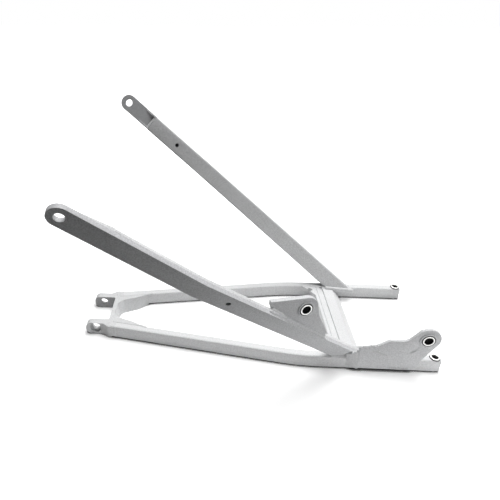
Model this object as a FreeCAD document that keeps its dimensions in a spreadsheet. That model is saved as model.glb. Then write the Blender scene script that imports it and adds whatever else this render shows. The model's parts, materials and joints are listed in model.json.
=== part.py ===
"""Rear subframe of a dirt bike, lying upside down on its two seat rails.

Millimetres. X runs from the front lugs to the rails' rear ends, Z is up, and the plane y = 0
is the middle of the bike. The exhaust side, called right, is at negative y.
"""
import FreeCAD
import Part
import Sketcher
import math
import os
import re

Vector = FreeCAD.Vector

SIZES = [
    ("half_length", 179.0, "centre to the lug ends, and to the rails' rear end"),
    ("rail_height", 14.2, "seat rail, across the height"),
    ("rail_width", 8.6, "seat rail, across the width"),
    ("rail_wall", 1.6, "wall of the seat rail"),
    ("rail_corner", 1.8, "outer corner radius of the seat rail"),
    ("spread_back", 115.0, "between the rails' centre lines behind the bend"),
    ("spread_front", 52.5, "between the rails' centre lines at their front ends"),
    ("bend_from_back", 135.5, "where the two straight runs of a rail would meet, from its rear end"),
    ("bend_radius", 250.0, "centre line radius of the bend"),
    ("joint_from_front", 29.0, "where the rails butt against the yoke's shoulders, from the lug ends"),
    ("cap_thickness", 1.0, "plate that closes a rail's rear end"),
    ("boss_from_back", 5.0, "centre of the threaded boss, from the rail's rear end"),
    ("boss_radius", 3.8, "outside of the boss below its collar"),
    ("boss_bore", 3.0, "radius of the thread in the boss"),
    ("collar_radius", 4.3, "collar of the boss"),
    ("collar_rise", 0.7, "how far the collar stands above the rail"),
    ("lug_gap", 38.0, "between the inner faces of the two front lugs"),
    ("lug_thickness", 7.2, "one front lug"),
    ("lug_corner", 6.2, "rounding of the lug ends"),
    ("lug_bolt_from_front", 10.6, "axis of the front bolt, from the lug ends"),
    ("lug_bolt_z", 8.0, "axis of the front bolt above the rails' underside"),
    ("lug_bore", 4.25, "radius of the front bolt's hole"),
    ("counterbore_radius", 6.2, "recess for the bolt's head"),
    ("counterbore_depth", 3.0, "recess for the bolt's head"),
    ("neck_from_front", 19.0, "where the lugs start to widen"),
    ("shoulder_from_front", 25.5, "where the yoke reaches its shoulders"),
    ("shoulder_width", 62.4, "across the shoulders"),
    ("arch_from_front", 24.2, "front face of the web between the lugs"),
    ("arch_back_from_front", 28.4, "rear face of the web, at the top"),
    ("arch_flat", 17.0, "straight part of the web's rear face"),
    ("throat_from_front", 34.2, "where the opening of the yoke turns along its legs"),
    ("throat_width", 30.0, "opening of the yoke at the throat"),
    ("waist_from_front", 50.5, "middle of the yoke's legs"),
    ("waist_width", 42.4, "opening of the yoke at the waist"),
    ("leg_from_front", 61.5, "where the yoke's legs run out along the rails"),
    ("leg_draft", 4.2, "how much closer the legs are at the bottom"),
    ("yoke_round", 4.0, "rounding of the yoke's upright corners"),
    ("slot_round", 2.0, "rounding at the bottom of the slot between the lugs"),
    ("cross_from_back", 102.0, "front face of the crossmember, from the rails' rear ends"),
    ("cross_flat", 21.5, "flat top of the crossmember, from its front face"),
    ("cross_length", 32.0, "underside of the crossmember, from its front face"),
    ("cross_lean", 2.0, "how far the crossmember's rear flank leans in at a third of its height"),
    ("cross_wall", 2.4, "wall of the crossmember"),
    ("cross_round", 4.0, "rounding of its rear flank"),
    ("rib_pitch", 3.1, "front rib and slit of the crossmember"),
    ("slit_width", 0.9, "slit between the two ribs"),
    ("channel_start", 6.9, "channel across the crossmember, from its front face"),
    ("channel_width", 3.4, "channel across the crossmember"),
    ("channel_depth", 1.6, "channel and slit"),
    ("gusset_reach", 13.0, "leg of the corner gusset along the rail"),
    ("gusset_span", 17.0, "leg of the corner gusset along the crossmember"),
    ("gusset_thickness", 4.0, "corner gusset"),
    ("gusset_hole", 2.6, "radius of the hole in the gusset"),
    ("tip_from_front", 30.3, "bolt centre in a strut's tip, from the lug ends"),
    ("tip_y", 143.3, "bolt centre in a strut's tip, from the middle"),
    ("tip_z", 208.9, "bolt centre in a strut's tip"),
    ("foot_right_from_back", 89.7, "foot of the right strut, from its rail's rear end"),
    ("foot_left_from_back", 74.3, "foot of the left strut, from its rail's rear end"),
    ("foot_y", 54.7, "foot of a strut, from the middle"),
    ("knee_from_tip", 123.0, "bend of a strut, along it from the tip"),
    ("knee_bow", 5.9, "how far the bend lies outside the straight line"),
    ("strut_height", 18.6, "strut section, height"),
    ("strut_thickness", 7.9, "strut section, thickness"),
    ("strut_cant", 12.7, "how far the section leans, in degrees"),
    ("strut_round", 1.8, "inner long edges of a strut"),
    ("strut_edge", 0.6, "outer long edges of a strut"),
    ("flange_thickness", 4.3, "outer wall of a strut, which runs on as its tab"),
    ("tab_length", 30.5, "bolt centre to the end of the inner channel"),
    ("tab_end", 9.3, "bolt centre to the end of the tab"),
    ("tab_nose", 0.1, "half of the flat left at the middle of the tab's round end"),
    ("tab_bore", 4.2, "radius of the bolt hole in the tab"),
    ("channel_wall", 1.5, "wall of the hollow inner channel"),
    ("end_plate", 2.0, "plate that closes the inner channel"),
    ("side_hole", 2.3, "radius of the small hole in a strut"),
    ("side_hole_right", 155.0, "small hole in the right strut, from its tip"),
    ("side_hole_left", 77.0, "small hole in the left strut, from its tip"),
    ("foot_bead", 2.2, "radius of the weld round a strut's foot"),
    ("ear_along", 229.1, "bolt centre of the front silencer ear, along the strut from its tip"),
    ("ear_inset", 3.8, "outer face of the ear at its bolt, inside the strut's middle"),
    ("ear_above", 23.1, "bolt centre of the ear above the strut's middle"),
    ("ear_turn", 18.0, "how far the ear is turned inwards, in degrees"),
    ("ear_thickness", 4.5, "front silencer ear"),
    ("ear_radius", 12.0, "round end of a silencer ear"),
    ("ear_rise", 2.3, "how much higher the ear's top is at its front end"),
    ("ear_front", 34.0, "front end of the ear's foot, before the bolt"),
    ("ear_back", 24.7, "rear end of the ear's foot, behind the bolt"),
    ("ear_drop", 30.5, "where the ear's rear edge reaches the strut, below the bolt"),
    ("ear_hip", 14.6, "how far the ear's rear edge is behind the bolt at its waist"),
    ("ear_hip_drop", 10.2, "waist of the ear's rear edge, below the bolt"),
    ("ear_sweep", 30.0, "radius of the ear's rear edge at its waist"),
    ("plate_thickness", 3.2, "rear silencer plate"),
    ("plate_front", 81.0, "front end of the rear plate, from the rail's rear end"),
    ("plate_front_z", 29.6, "top of the rear plate's front end"),
    ("plate_foot_z", 4.6, "lower edge of the rear plate on the rail"),
    ("plate_heel", 28.0, "rear end of the rear plate's lower edge"),
    ("plate_heel_rise", 4.6, "slanted corner of the rear plate's heel"),
    ("plate_saddle", 38.0, "rear end of the straight top of the plate"),
    ("plate_saddle_z", 40.0, "straight top of the plate"),
    ("plate_step", 54.5, "front end of the straight top of the plate"),
    ("plate_brow", 65.0, "where the plate's top starts to rise to the saddle"),
    ("plate_brow_z", 33.0, "where the plate's top starts to rise to the saddle"),
    ("plate_waist", 21.5, "narrowest point of the ear's neck"),
    ("plate_waist_z", 17.5, "narrowest point of the ear's neck"),
    ("plate_bolt", 20.6, "bolt centre of the rear plate"),
    ("plate_bolt_z", 42.6, "bolt centre of the rear plate"),
    ("plate_cheek", 11.0, "where the neck's rear edge meets the ear, behind the bolt"),
    ("plate_cheek_drop", 4.7, "where the neck's rear edge meets the ear, below the bolt"),
    ("plate_brow_back", 9.2, "where the neck's front edge meets the ear, before the bolt"),
    ("plate_brow_rise", 7.7, "where the neck's front edge meets the ear, above the bolt"),
    ("plate_sweep", 9.0, "radius of the rear plate's hollow corners"),
    ("ear_hole", 6.7, "radius of the hole that takes a grommet"),
    ("fit_gap", 0.15, "play round a boss, a grommet and a sleeve"),
    ("grommet_lip", 0.9, "how far a lip of the grommet laps the plate"),
    ("lip_thickness", 0.8, "lip of the grommet"),
    ("sleeve_bore", 4.25, "radius of the hole in a sleeve"),
    ("sleeve_wall", 1.1, "wall of a sleeve"),
    ("sleeve_proud", 0.6, "how far a sleeve stands out of its grommet"),
    ("sleeve_tail", 6.0, "how much further a sleeve runs on the inside"),
]

doc = FreeCAD.newDocument("RearSubframe")
sheet = doc.addObject("Spreadsheet::Sheet", "Sizes")
for row, (alias, value, meaning) in enumerate(SIZES, start=1):
    sheet.set(f"A{row}", alias)
    sheet.set(f"B{row}", str(value))
    sheet.set(f"C{row}", meaning)
    sheet.setAlias(f"B{row}", alias)
doc.recompute()

nodes = []


def size(alias):
    """Value of a driving size."""
    return float(sheet.get(alias))


def cell(text):
    """Expression on the sheet: each word that is an alias gets the sheet's name."""
    aliases = {row[0] for row in SIZES}
    named = lambda word: f"Sizes.{word[0]}" if word[0] in aliases else word[0]
    return re.sub("[a-z_]+", named, text)


def new_body(label, placement=None):
    """Body whose label is the sub-part's name."""
    body = doc.addObject("PartDesign::Body", "Body")
    body.Label = label
    if placement is not None:
        body.Placement = placement
    return body


def keep(shape_object):
    """Count an object among the sub-parts that are written out."""
    nodes.append(shape_object)
    return shape_object


def new_sketch(body, role, lift=""):
    """Sketch on an origin plane of its body, lifted along the plane's normal."""
    drawn = body.newObject("Sketcher::SketchObject", "Sketch")
    support = next(feature for feature in body.Origin.OriginFeatures if feature.Role == role)
    drawn.AttachmentSupport = (support, [""])
    drawn.MapMode = "FlatFace"
    if lift:
        drawn.setExpression(".AttachmentOffset.Base.z", cell(lift))
    return drawn


def bind(drawn, kind, references, expression):
    """Dimension whose value is an expression on the sheet."""
    index = drawn.addConstraint(Sketcher.Constraint(kind, *references, 1.0))
    drawn.setExpression(f"Constraints[{index}]", cell(expression))


def place(drawn, geometry, point, x, y):
    """Hold a point of the sketch at two expressions, or on an axis where one is 0."""
    for kind, axis, where in (("DistanceX", -2, x), ("DistanceY", -1, y)):
        if where == "0":
            drawn.addConstraint(Sketcher.Constraint("PointOnObject", geometry, point, axis))
        else:
            bind(drawn, kind, (-1, 1, geometry, point), where)


def outline(drawn, corners):
    """Closed run of straight lines through corners that are given as expressions."""
    count = len(corners)
    ring = [Vector(9 * math.cos(2 * math.pi * i / count), 9 * math.sin(2 * math.pi * i / count), 0)
            for i in range(count)]
    first = drawn.GeometryCount
    for i in range(count):
        drawn.addGeometry(Part.LineSegment(ring[i], ring[(i + 1) % count]))
    for i in range(count):
        drawn.addConstraint(Sketcher.Constraint("Coincident", first + i, 2, first + (i + 1) % count, 1))
    for i, (x, y) in enumerate(corners):
        place(drawn, first + i, 1, x, y)


def circle(drawn, x, y, radius):
    """Circle at two expressions."""
    made = drawn.addGeometry(Part.Circle(Vector(5, 5, 0), Vector(0, 0, 1), 2))
    place(drawn, made, 3, x, y)
    bind(drawn, "Radius", (made,), radius)


def rounded_rectangle(drawn, width, height, radius):
    """Rectangle about the sketch's origin with round corners."""
    first = drawn.GeometryCount
    reach = 4.0
    bend = 1.0
    for turn in range(4):
        angle = turn * math.pi / 2
        along = Vector(math.cos(angle), math.sin(angle), 0)
        out = Vector(math.sin(angle), -math.cos(angle), 0)
        half = along * (reach - bend)
        drawn.addGeometry(Part.LineSegment(out * reach - half, out * reach + half))
    for turn in range(4):
        angle = turn * math.pi / 2
        along = Vector(math.cos(angle), math.sin(angle), 0)
        out = Vector(math.sin(angle), -math.cos(angle), 0)
        centre = (out + along) * (reach - bend)
        arc = Part.ArcOfCircle(Part.Circle(centre, Vector(0, 0, 1), bend), angle - math.pi / 2, angle)
        drawn.addGeometry(arc)
    for turn in range(4):
        following = first + (turn + 1) % 4
        drawn.addConstraint(Sketcher.Constraint("Tangent", first + turn, 2, first + 4 + turn, 1))
        drawn.addConstraint(Sketcher.Constraint("Tangent", first + 4 + turn, 2, following, 1))
        drawn.addConstraint(Sketcher.Constraint("Vertical" if turn % 2 else "Horizontal", first + turn))
    for turn in range(1, 4):
        drawn.addConstraint(Sketcher.Constraint("Equal", first + 4, first + 4 + turn))
    bind(drawn, "Radius", (first + 4,), radius)
    bind(drawn, "DistanceY", (-1, 1, first, 1), f"- ( {height} ) / 2")
    bind(drawn, "DistanceX", (-1, 1, first + 1, 1), f"( {width} ) / 2")
    bind(drawn, "DistanceY", (-1, 1, first + 2, 1), f"( {height} ) / 2")
    bind(drawn, "DistanceX", (-1, 1, first + 3, 1), f"- ( {width} ) / 2")


def pad(body, drawn, length, both_ways=False):
    """Pad of a sketch."""
    made = body.newObject("PartDesign::Pad", "Pad")
    made.Profile = drawn
    made.SideType = "Symmetric" if both_ways else "One side"
    made.setExpression("Length", cell(length))
    body.Tip = made
    doc.recompute()
    return made


def cut_through(body, drawn):
    """Pocket right through the body, to both sides of the sketch."""
    before = body.Shape.Volume
    made = body.newObject("PartDesign::Pocket", "Pocket")
    made.Profile = drawn
    made.Type = "ThroughAll"
    made.SideType = "Symmetric"
    body.Tip = made
    doc.recompute()
    if body.Shape.Volume >= before:
        raise ValueError(f"a cut missed {body.Label}")
    return made


def cut_down(body, drawn, depth, reverse=False):
    """Pocket of some depth, against the sketch's normal or with it."""
    before = body.Shape.Volume
    made = body.newObject("PartDesign::Pocket", "Pocket")
    made.Profile = drawn
    made.Reversed = reverse
    made.setExpression("Length", cell(depth))
    body.Tip = made
    doc.recompute()
    if body.Shape.Volume >= before:
        raise ValueError(f"a cut missed {body.Label}")
    return made


def cut_inside(body, drawn, length):
    """Pocket of some length, half of it on each side of the sketch."""
    before = body.Shape.Volume
    made = body.newObject("PartDesign::Pocket", "Pocket")
    made.Profile = drawn
    made.SideType = "Symmetric"
    made.setExpression("Length", cell(length))
    body.Tip = made
    doc.recompute()
    if body.Shape.Volume >= before:
        raise ValueError(f"a cut missed {body.Label}")
    return made


def direction(edge):
    """Unit vector from one end of an edge to the other, or a null vector for a closed one."""
    span = edge.Vertexes[-1].Point - edge.Vertexes[0].Point
    return span.normalize() if span.Length > 0 else span


def round_edges(body, radius, chosen):
    """Fillet on the edges of the body's tip that a test picks."""
    base = body.Tip
    names = [f"Edge{i}" for i, edge in enumerate(base.Shape.Edges, start=1) if chosen(edge)]
    made = body.newObject("PartDesign::Fillet", "Fillet")
    made.Base = (base, names)
    made.setExpression("Radius", cell(radius))
    body.Tip = made
    doc.recompute()
    return made


def front(alias):
    """Expression for an x that is measured from the lug ends."""
    return f"( {alias} - half_length )"


def back(alias):
    """Expression for an x that is measured from the rails' rear ends."""
    return f"( half_length - {alias} )"


def front_x(alias):
    """Value of an x that is measured from the lug ends."""
    return size(alias) - size("half_length")


def back_x(alias):
    """Value of an x that is measured from the rails' rear ends."""
    return size("half_length") - size(alias)


SIDES = (("right", -1), ("left", 1))
JOINT = front("joint_from_front")
BEND = back("bend_from_back")
CROSS = back("cross_from_back")
TAPER = f"atan(( spread_back - spread_front ) / 2 / ( {BEND} - {JOINT} ) )"
RAIL_BACK = "( half_length - cap_thickness )"


def rail_back():
    """Rear end of the rail's tube."""
    return size("half_length") - size("cap_thickness")


def taper():
    """Angle between a rail's front run and the middle plane."""
    narrowing = (size("spread_back") - size("spread_front")) / 2
    return math.atan2(narrowing, back_x("bend_from_back") - front_x("joint_from_front"))


def seat_rail(name, side):
    """Bent rectangular tube from the yoke to the rear end, bored for its boss."""
    place_at = Vector(rail_back(), side * size("spread_back") / 2, size("rail_height") / 2)
    body = new_body(f"{name}_seat_rail", FreeCAD.Placement(place_at, FreeCAD.Rotation()))
    path = new_sketch(body, "XY_Plane")
    radius = size("bend_radius")
    angle = taper()
    tangent = radius * math.tan(angle / 2)
    bend_start = Vector(back_x("bend_from_back") - rail_back() + tangent, 0, 0)
    narrowing = side * (size("spread_back") - size("spread_front")) / 2
    front_end = Vector(front_x("joint_from_front") - rail_back(), -narrowing, 0)
    along = Vector(-math.cos(angle), -side * math.sin(angle), 0)
    bend_end = bend_start - Vector(tangent, 0, 0) + along * tangent
    sagitta = radius * (1 - math.cos(angle / 2))
    middle = Vector(bend_start.x - radius * math.sin(angle / 2), -side * sagitta, 0)
    path.addGeometry(Part.LineSegment(Vector(), bend_start))
    path.addGeometry(Part.Arc(bend_start, middle, bend_end))
    path.addGeometry(Part.LineSegment(bend_end, front_end))
    path.addConstraint(Sketcher.Constraint("Coincident", 0, 1, -1, 1))
    path.addConstraint(Sketcher.Constraint("Horizontal", 0))
    arc_points = [path.getPoint(1, 1), path.getPoint(1, 2)]
    gaps = [point.distanceToPoint(bend_start) for point in arc_points]
    arc_start = 1 if gaps[0] < gaps[1] else 2
    path.addConstraint(Sketcher.Constraint("Tangent", 0, 2, 1, arc_start))
    path.addConstraint(Sketcher.Constraint("Tangent", 1, 3 - arc_start, 2, 1))
    bind(path, "Radius", (1,), "bend_radius")
    bind(path, "DistanceX", (-1, 1, 0, 2), f"{BEND} - {RAIL_BACK} + bend_radius * tan({TAPER} / 2 )")
    place(path, 2, 2, f"{JOINT} - {RAIL_BACK}", f"{-side} * ( spread_back - spread_front ) / 2")
    section = new_sketch(body, "YZ_Plane")
    rounded_rectangle(section, "rail_width", "rail_height", "rail_corner")
    hollow_y = "( rail_width / 2 - rail_wall )"
    hollow_z = "( rail_height / 2 - rail_wall )"
    outline(section, [
        (f"{y_sign} {hollow_y}", f"{z_sign} {hollow_z}")
        for y_sign, z_sign in (("", "-"), ("", ""), ("-", ""), ("-", "-"))
    ])
    tube = body.newObject("PartDesign::AdditivePipe", "Tube")
    tube.Profile = section
    tube.Spine = (path, ["Edge1", "Edge2", "Edge3"])
    body.Tip = tube
    doc.recompute()
    hole = new_sketch(body, "XY_Plane")
    circle(hole, "cap_thickness - boss_from_back", "0", "boss_radius + fit_gap")
    cut_through(body, hole)
    return keep(body)


def rail_cap(name, side):
    """Welded plate that closes the rear end of a rail."""
    place_at = Vector(rail_back(), side * size("spread_back") / 2, size("rail_height") / 2)
    body = new_body(f"{name}_rail_cap", FreeCAD.Placement(place_at, FreeCAD.Rotation()))
    section = new_sketch(body, "YZ_Plane")
    rounded_rectangle(section, "rail_width", "rail_height", "rail_corner")
    pad(body, section, "cap_thickness")
    return keep(body)


def end_boss(name, side):
    """Threaded boss through the rear end of a rail, with a collar on top."""
    place_at = Vector(back_x("boss_from_back"), side * size("spread_back") / 2, 0)
    body = new_body(f"{name}_end_boss", FreeCAD.Placement(place_at, FreeCAD.Rotation()))
    shank = new_sketch(body, "XY_Plane")
    circle(shank, "0", "0", "boss_radius")
    pad(body, shank, "rail_height")
    collar = new_sketch(body, "XY_Plane", "rail_height")
    circle(collar, "0", "0", "collar_radius")
    pad(body, collar, "collar_rise")
    bore = new_sketch(body, "XY_Plane")
    circle(bore, "0", "0", "boss_bore")
    cut_through(body, bore)
    return keep(body)


def both_halves(half):
    """Closed outline from its half at positive y."""
    return half + [(x, f"- ( {y} )") for x, y in reversed(half)]


def front_yoke():
    """Cast yoke: two bolt lugs, a web between them and two drafted legs to the rails."""
    body = new_body("front_yoke")
    outer_x = f"{JOINT} - rail_width / 2 * sin({TAPER})"
    outer_y = f"spread_front / 2 + rail_width / 2 * cos({TAPER})"
    inner_x = f"{JOINT} + rail_width / 2 * sin({TAPER})"
    inner_y = f"spread_front / 2 - rail_width / 2 * cos({TAPER})"
    leg_x = front("leg_from_front")
    leg_y = f"spread_back / 2 - ( {BEND} - {leg_x} ) * tan({TAPER}) - rail_width / 2 / cos({TAPER})"
    lug_outer = "lug_gap / 2 + lug_thickness"
    plan = new_sketch(body, "XY_Plane")
    outline(plan, both_halves([
        ("- half_length", lug_outer),
        (front("neck_from_front"), lug_outer),
        (front("shoulder_from_front"), "shoulder_width / 2"),
        (outer_x, outer_y),
        (inner_x, inner_y),
        (leg_x, leg_y),
    ]))
    pad(body, plan, "rail_height")
    upright = lambda edge: abs(direction(edge).z) > 0.99
    at_x = lambda edge, alias: upright(edge) and abs(edge.CenterOfMass.x - front_x(alias)) < 0.5
    flared = lambda e: at_x(e, "neck_from_front") or at_x(e, "shoulder_from_front")
    round_edges(body, "yoke_round", flared)
    slot = new_sketch(body, "XY_Plane")
    outline(slot, both_halves([
        ("- half_length - slot_round", "lug_gap / 2"),
        (front("arch_from_front"), "lug_gap / 2"),
    ]))
    cut_through(body, slot)
    round_edges(body, "slot_round", lambda e: at_x(e, "arch_from_front"))
    top = new_sketch(body, "XY_Plane", "rail_height")
    past_leg = f"{leg_x} + rail_width"
    outline(top, both_halves([
        (front("arch_back_from_front"), "arch_flat / 2"),
        (front("throat_from_front"), "throat_width / 2"),
        (front("waist_from_front"), "waist_width / 2"),
        (leg_x, leg_y),
        (past_leg, leg_y),
    ]))
    bottom = new_sketch(body, "XY_Plane")
    outline(bottom, both_halves([
        (front("arch_back_from_front + leg_draft / 2"), "arch_flat / 2 - leg_draft / 2"),
        (front("throat_from_front + leg_draft / 2"), "throat_width / 2 - leg_draft"),
        (front("waist_from_front"), "waist_width / 2 - leg_draft"),
        (leg_x, leg_y),
        (past_leg, leg_y),
    ]))
    opening = body.newObject("PartDesign::SubtractiveLoft", "Opening")
    opening.Profile = top
    opening.Sections = [bottom]
    opening.Ruled = True
    body.Tip = opening
    doc.recompute()

    def in_opening(edge):
        spot = edge.CenterOfMass
        steep = abs(direction(edge).z) > 0.8
        behind_web = spot.x > front_x("arch_from_front") + 1
        return steep and behind_web and abs(spot.y) < size("waist_width") / 2

    round_edges(body, "yoke_round", in_opening)
    ends = lambda e: abs(direction(e).y) > 0.99 and e.CenterOfMass.x < 0.5 - size("half_length")
    round_edges(body, "lug_corner", ends)
    bore = new_sketch(body, "XZ_Plane")
    circle(bore, front("lug_bolt_from_front"), "lug_bolt_z", "lug_bore")
    cut_through(body, bore)
    for lift, reverse in ((lug_outer, False), (f"- ( {lug_outer} )", True)):
        recess = new_sketch(body, "XZ_Plane", lift)
        circle(recess, front("lug_bolt_from_front"), "lug_bolt_z", "counterbore_radius")
        cut_down(body, recess, "counterbore_depth", reverse)
    return keep(body)


def crossmember():
    """Extruded hollow crossmember with ribs and a channel along its top."""
    body = new_body("crossmember")
    section = new_sketch(body, "XZ_Plane")
    channel_floor = "rail_height - channel_depth"
    slit_floor = "rail_height - channel_depth / 2"
    slit_front = f"{CROSS} + rib_pitch - slit_width / 2"
    slit_back = f"{CROSS} + rib_pitch + slit_width / 2"
    channel_front = f"{CROSS} + channel_start"
    channel_back = f"{CROSS} + channel_start + channel_width"
    foot = f"{CROSS} + cross_length"
    flat_end = f"{CROSS} + cross_flat"
    outline(section, [
        (CROSS, "0"),
        (foot, "0"),
        (f"{foot} - cross_lean", "rail_height / 3"),
        (flat_end, "rail_height"),
        (channel_back, "rail_height"),
        (channel_back, channel_floor),
        (channel_front, channel_floor),
        (channel_front, "rail_height"),
        (slit_back, "rail_height"),
        (slit_back, slit_floor),
        (slit_front, slit_floor),
        (slit_front, "rail_height"),
        (CROSS, "rail_height"),
    ])
    outline(section, [
        (f"{CROSS} + cross_wall", "cross_wall"),
        (f"{foot} - cross_lean - cross_wall", "cross_wall"),
        (f"{flat_end} - cross_wall", f"{channel_floor} - cross_wall"),
        (f"{CROSS} + cross_wall", f"{channel_floor} - cross_wall"),
    ])
    pad(body, section, "spread_back - rail_width", both_ways=True)

    def flank(edge):
        spot = edge.CenterOfMass
        crosswise = abs(direction(edge).y) > 0.99
        behind_top = spot.x > back_x("cross_from_back") + size("cross_flat") - 0.1
        return crosswise and behind_top and spot.z > size("rail_height") / 4

    round_edges(body, "cross_round", flank)
    return keep(body)


def corner_gusset(name, side):
    """Flat gusset in the corner of a rail and the crossmember."""
    body = new_body(f"{name}_corner_gusset")
    plan = new_sketch(body, "XY_Plane", "rail_height - gusset_thickness")
    rail_face = "( spread_back - rail_width ) / 2"
    outline(plan, [
        (CROSS, f"{side} * {rail_face}"),
        (f"{CROSS} - gusset_reach", f"{side} * {rail_face}"),
        (f"{CROSS} - gusset_reach / 2", f"{side} * ( {rail_face} - gusset_span / 3 )"),
        (CROSS, f"{side} * ( {rail_face} - gusset_span )"),
    ])
    pad(body, plan, "gusset_thickness")
    hole = new_sketch(body, "XY_Plane")
    hole_y = f"{side} * ( {rail_face} - gusset_span / 3 )"
    circle(hole, f"{CROSS} - gusset_reach / 3", hole_y, "gusset_hole")
    cut_through(body, hole)
    return keep(body)


def strut_frame(name, side):
    """Placement of a strut: origin at the tip's bolt, X to the foot, Z across its height."""
    tip = Vector(front_x("tip_from_front"), side * size("tip_y"), size("tip_z"))
    foot = Vector(back_x(f"foot_{name}_from_back"), side * size("foot_y"), size("rail_height"))
    along = (foot - tip).normalize()
    out = Vector(0, side, 0)
    out = (out - along * out.dot(along)).normalize()
    rise = along.cross(out)
    if rise.z < 0:
        rise = rise * -1
    cant = math.radians(size("strut_cant"))
    rise = rise * math.cos(cant) + out * math.sin(cant)
    return FreeCAD.Placement(tip, FreeCAD.Rotation(along, rise.cross(along), rise, "ZXY"))


def strut_strip(name, side, start, outer, inner):
    """Outline of one layer of a bent strut, from a start to below the rail's top."""
    run = f"( {back(f'foot_{name}_from_back')} - {front('tip_from_front')} )"
    span = f"sqrt({run} ^ 2 + ( tip_y - foot_y ) ^ 2 + ( tip_z - rail_height ) ^ 2 )"
    lead = f"knee_bow / knee_from_tip * ( {start} )"
    trail = f"- knee_bow * {FOOT_STOCK} / ( {span} - knee_from_tip )"
    stations = [
        (f"{start}", lead),
        ("knee_from_tip", "knee_bow"),
        (f"{span} + {FOOT_STOCK}", trail),
    ]
    far = [(x, f"{side} * ( {bow} + {outer} )") for x, bow in stations]
    near = [(x, f"{side} * ( {bow} + {inner} )") for x, bow in reversed(stations)]
    return far + near


FOOT_STOCK = "( 2 * strut_height )"
OUTER_FACE = "strut_thickness / 2"
SEAM_FACE = "( strut_thickness / 2 - flange_thickness )"
INNER_FACE = "( - strut_thickness / 2 )"


def seat_on_rail(label, body):
    """Cut a strut layer flat at the level of the rail's top."""
    below = doc.addObject("Part::Box", "BelowRailTop")
    below.setExpression("Height", cell("4 * strut_height"))
    below.setExpression("Length", cell("half_length"))
    below.setExpression("Width", cell("2 * spread_back"))
    below.setExpression(".Placement.Base.y", cell("- spread_back"))
    below.setExpression(".Placement.Base.z", cell("rail_height - 4 * strut_height"))
    seated = doc.addObject("Part::Cut", "Seated")
    seated.Base = body
    seated.Tool = below
    seated.Label = label
    doc.recompute()
    return keep(seated)


def strut_layers(name, side):
    """Outer flange with its tab, inner channel and the plate that closes the channel."""
    frame = strut_frame(name, side)
    flange = new_body(f"{name}_strut_flange_stock", frame)
    plan = new_sketch(flange, "XY_Plane")
    outline(plan, strut_strip(name, side, "- tab_end", OUTER_FACE, SEAM_FACE))
    pad(flange, plan, "strut_height", both_ways=True)
    tab = lambda e: e.CenterOfMass.x < 1 - size("tab_end") and abs(direction(e).y) > 0.9
    round_edges(flange, "strut_height / 2 - tab_nose", tab)
    channel = new_body(f"{name}_strut_channel_stock", frame)
    inner_plan = new_sketch(channel, "XY_Plane")
    outline(inner_plan, strut_strip(name, side, "tab_length", SEAM_FACE, INNER_FACE))
    pad(channel, inner_plan, "strut_height", both_ways=True)
    bore = new_sketch(flange, "XZ_Plane")
    circle(bore, "0", "0", "tab_bore")
    cut_through(flange, bore)
    cavity = new_sketch(channel, "XY_Plane")
    outline(cavity, strut_strip(name, side, "tab_length", SEAM_FACE, f"( channel_wall + {INNER_FACE} )"))
    cut_inside(channel, cavity, "strut_height - 2 * channel_wall")
    pierced = flange if name == "right" else channel
    hole = new_sketch(pierced, "XZ_Plane")
    circle(hole, f"side_hole_{name}", "0", "side_hole")
    cut_through(pierced, hole)

    def inner_long(edge):
        ends = [vertex.Point for vertex in edge.Vertexes]
        inside = all(side * end.y < strut_bow(name, end.x) - size("strut_thickness") / 4 for end in ends)
        return inside and abs(direction(edge).x) > 0.9 and abs(ends[0].z) > size("strut_height") / 3

    round_edges(channel, "strut_round", inner_long)
    plate = new_body(f"{name}_strut_end_plate", frame)
    plate_plan = new_sketch(plate, "XY_Plane")
    slope = "knee_bow / knee_from_tip"
    outline(plate_plan, [
        (x, f"{side} * ( {slope} * ( {x} ) + {face} )")
        for x, face in (
            ("tab_length - end_plate", SEAM_FACE),
            ("tab_length", SEAM_FACE),
            ("tab_length", INNER_FACE),
            ("tab_length - end_plate", INNER_FACE),
        )
    ])
    pad(plate, plate_plan, "strut_height - 2 * strut_edge", both_ways=True)
    keep(plate)
    seated_flange = seat_on_rail(f"{name}_strut_flange", flange)
    seated_channel = seat_on_rail(f"{name}_strut_channel", channel)
    foot_weld(name, side, (seated_flange, seated_channel))


def strut_bow(name, x):
    """How far the middle of a strut's section lies outside its straight line at x."""
    knee = size("knee_from_tip")
    if x < knee:
        return size("knee_bow") * x / knee
    return size("knee_bow") * (strut_span(name) - x) / (strut_span(name) - knee)


def strut_span(name):
    """Straight length of a strut from its tip's bolt to its foot."""
    run = back_x(f"foot_{name}_from_back") - front_x("tip_from_front")
    inward = size("tip_y") - size("foot_y")
    drop = size("tip_z") - size("rail_height")
    return math.sqrt(run ** 2 + inward ** 2 + drop ** 2)


def bolt_ear(body, outline_points, thickness, ear_x, ear_z, lift):
    """Plate with a round ear and a hole for a grommet, in the sketch plane's own axes."""
    plan = new_sketch(body, "XZ_Plane", lift)
    outline(plan, outline_points)
    pad(body, plan, thickness)
    disc = new_sketch(body, "XZ_Plane", lift)
    circle(disc, ear_x, ear_z, "ear_radius")
    pad(body, disc, thickness)
    hole = new_sketch(body, "XZ_Plane")
    circle(hole, ear_x, ear_z, "ear_hole")
    cut_through(body, hole)


def front_ear_frame():
    """Placement of the front ear: origin on its outer face at the bolt, Y to the inside."""
    on_strut = Vector(size("ear_along"), size("ear_inset"), size("ear_above"))
    centre = strut_frame("right", -1).multVec(on_strut)
    return FreeCAD.Placement(centre, FreeCAD.Rotation(Vector(0, 0, 1), size("ear_turn")))


def rear_plate_frame():
    """Placement of the rear plate's hole: origin on the outer face at the bolt."""
    outer = -(size("spread_back") + size("rail_width")) / 2 - size("plate_thickness")
    centre = Vector(back_x("plate_bolt"), outer, size("plate_bolt_z"))
    return FreeCAD.Placement(centre, FreeCAD.Rotation())


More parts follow.
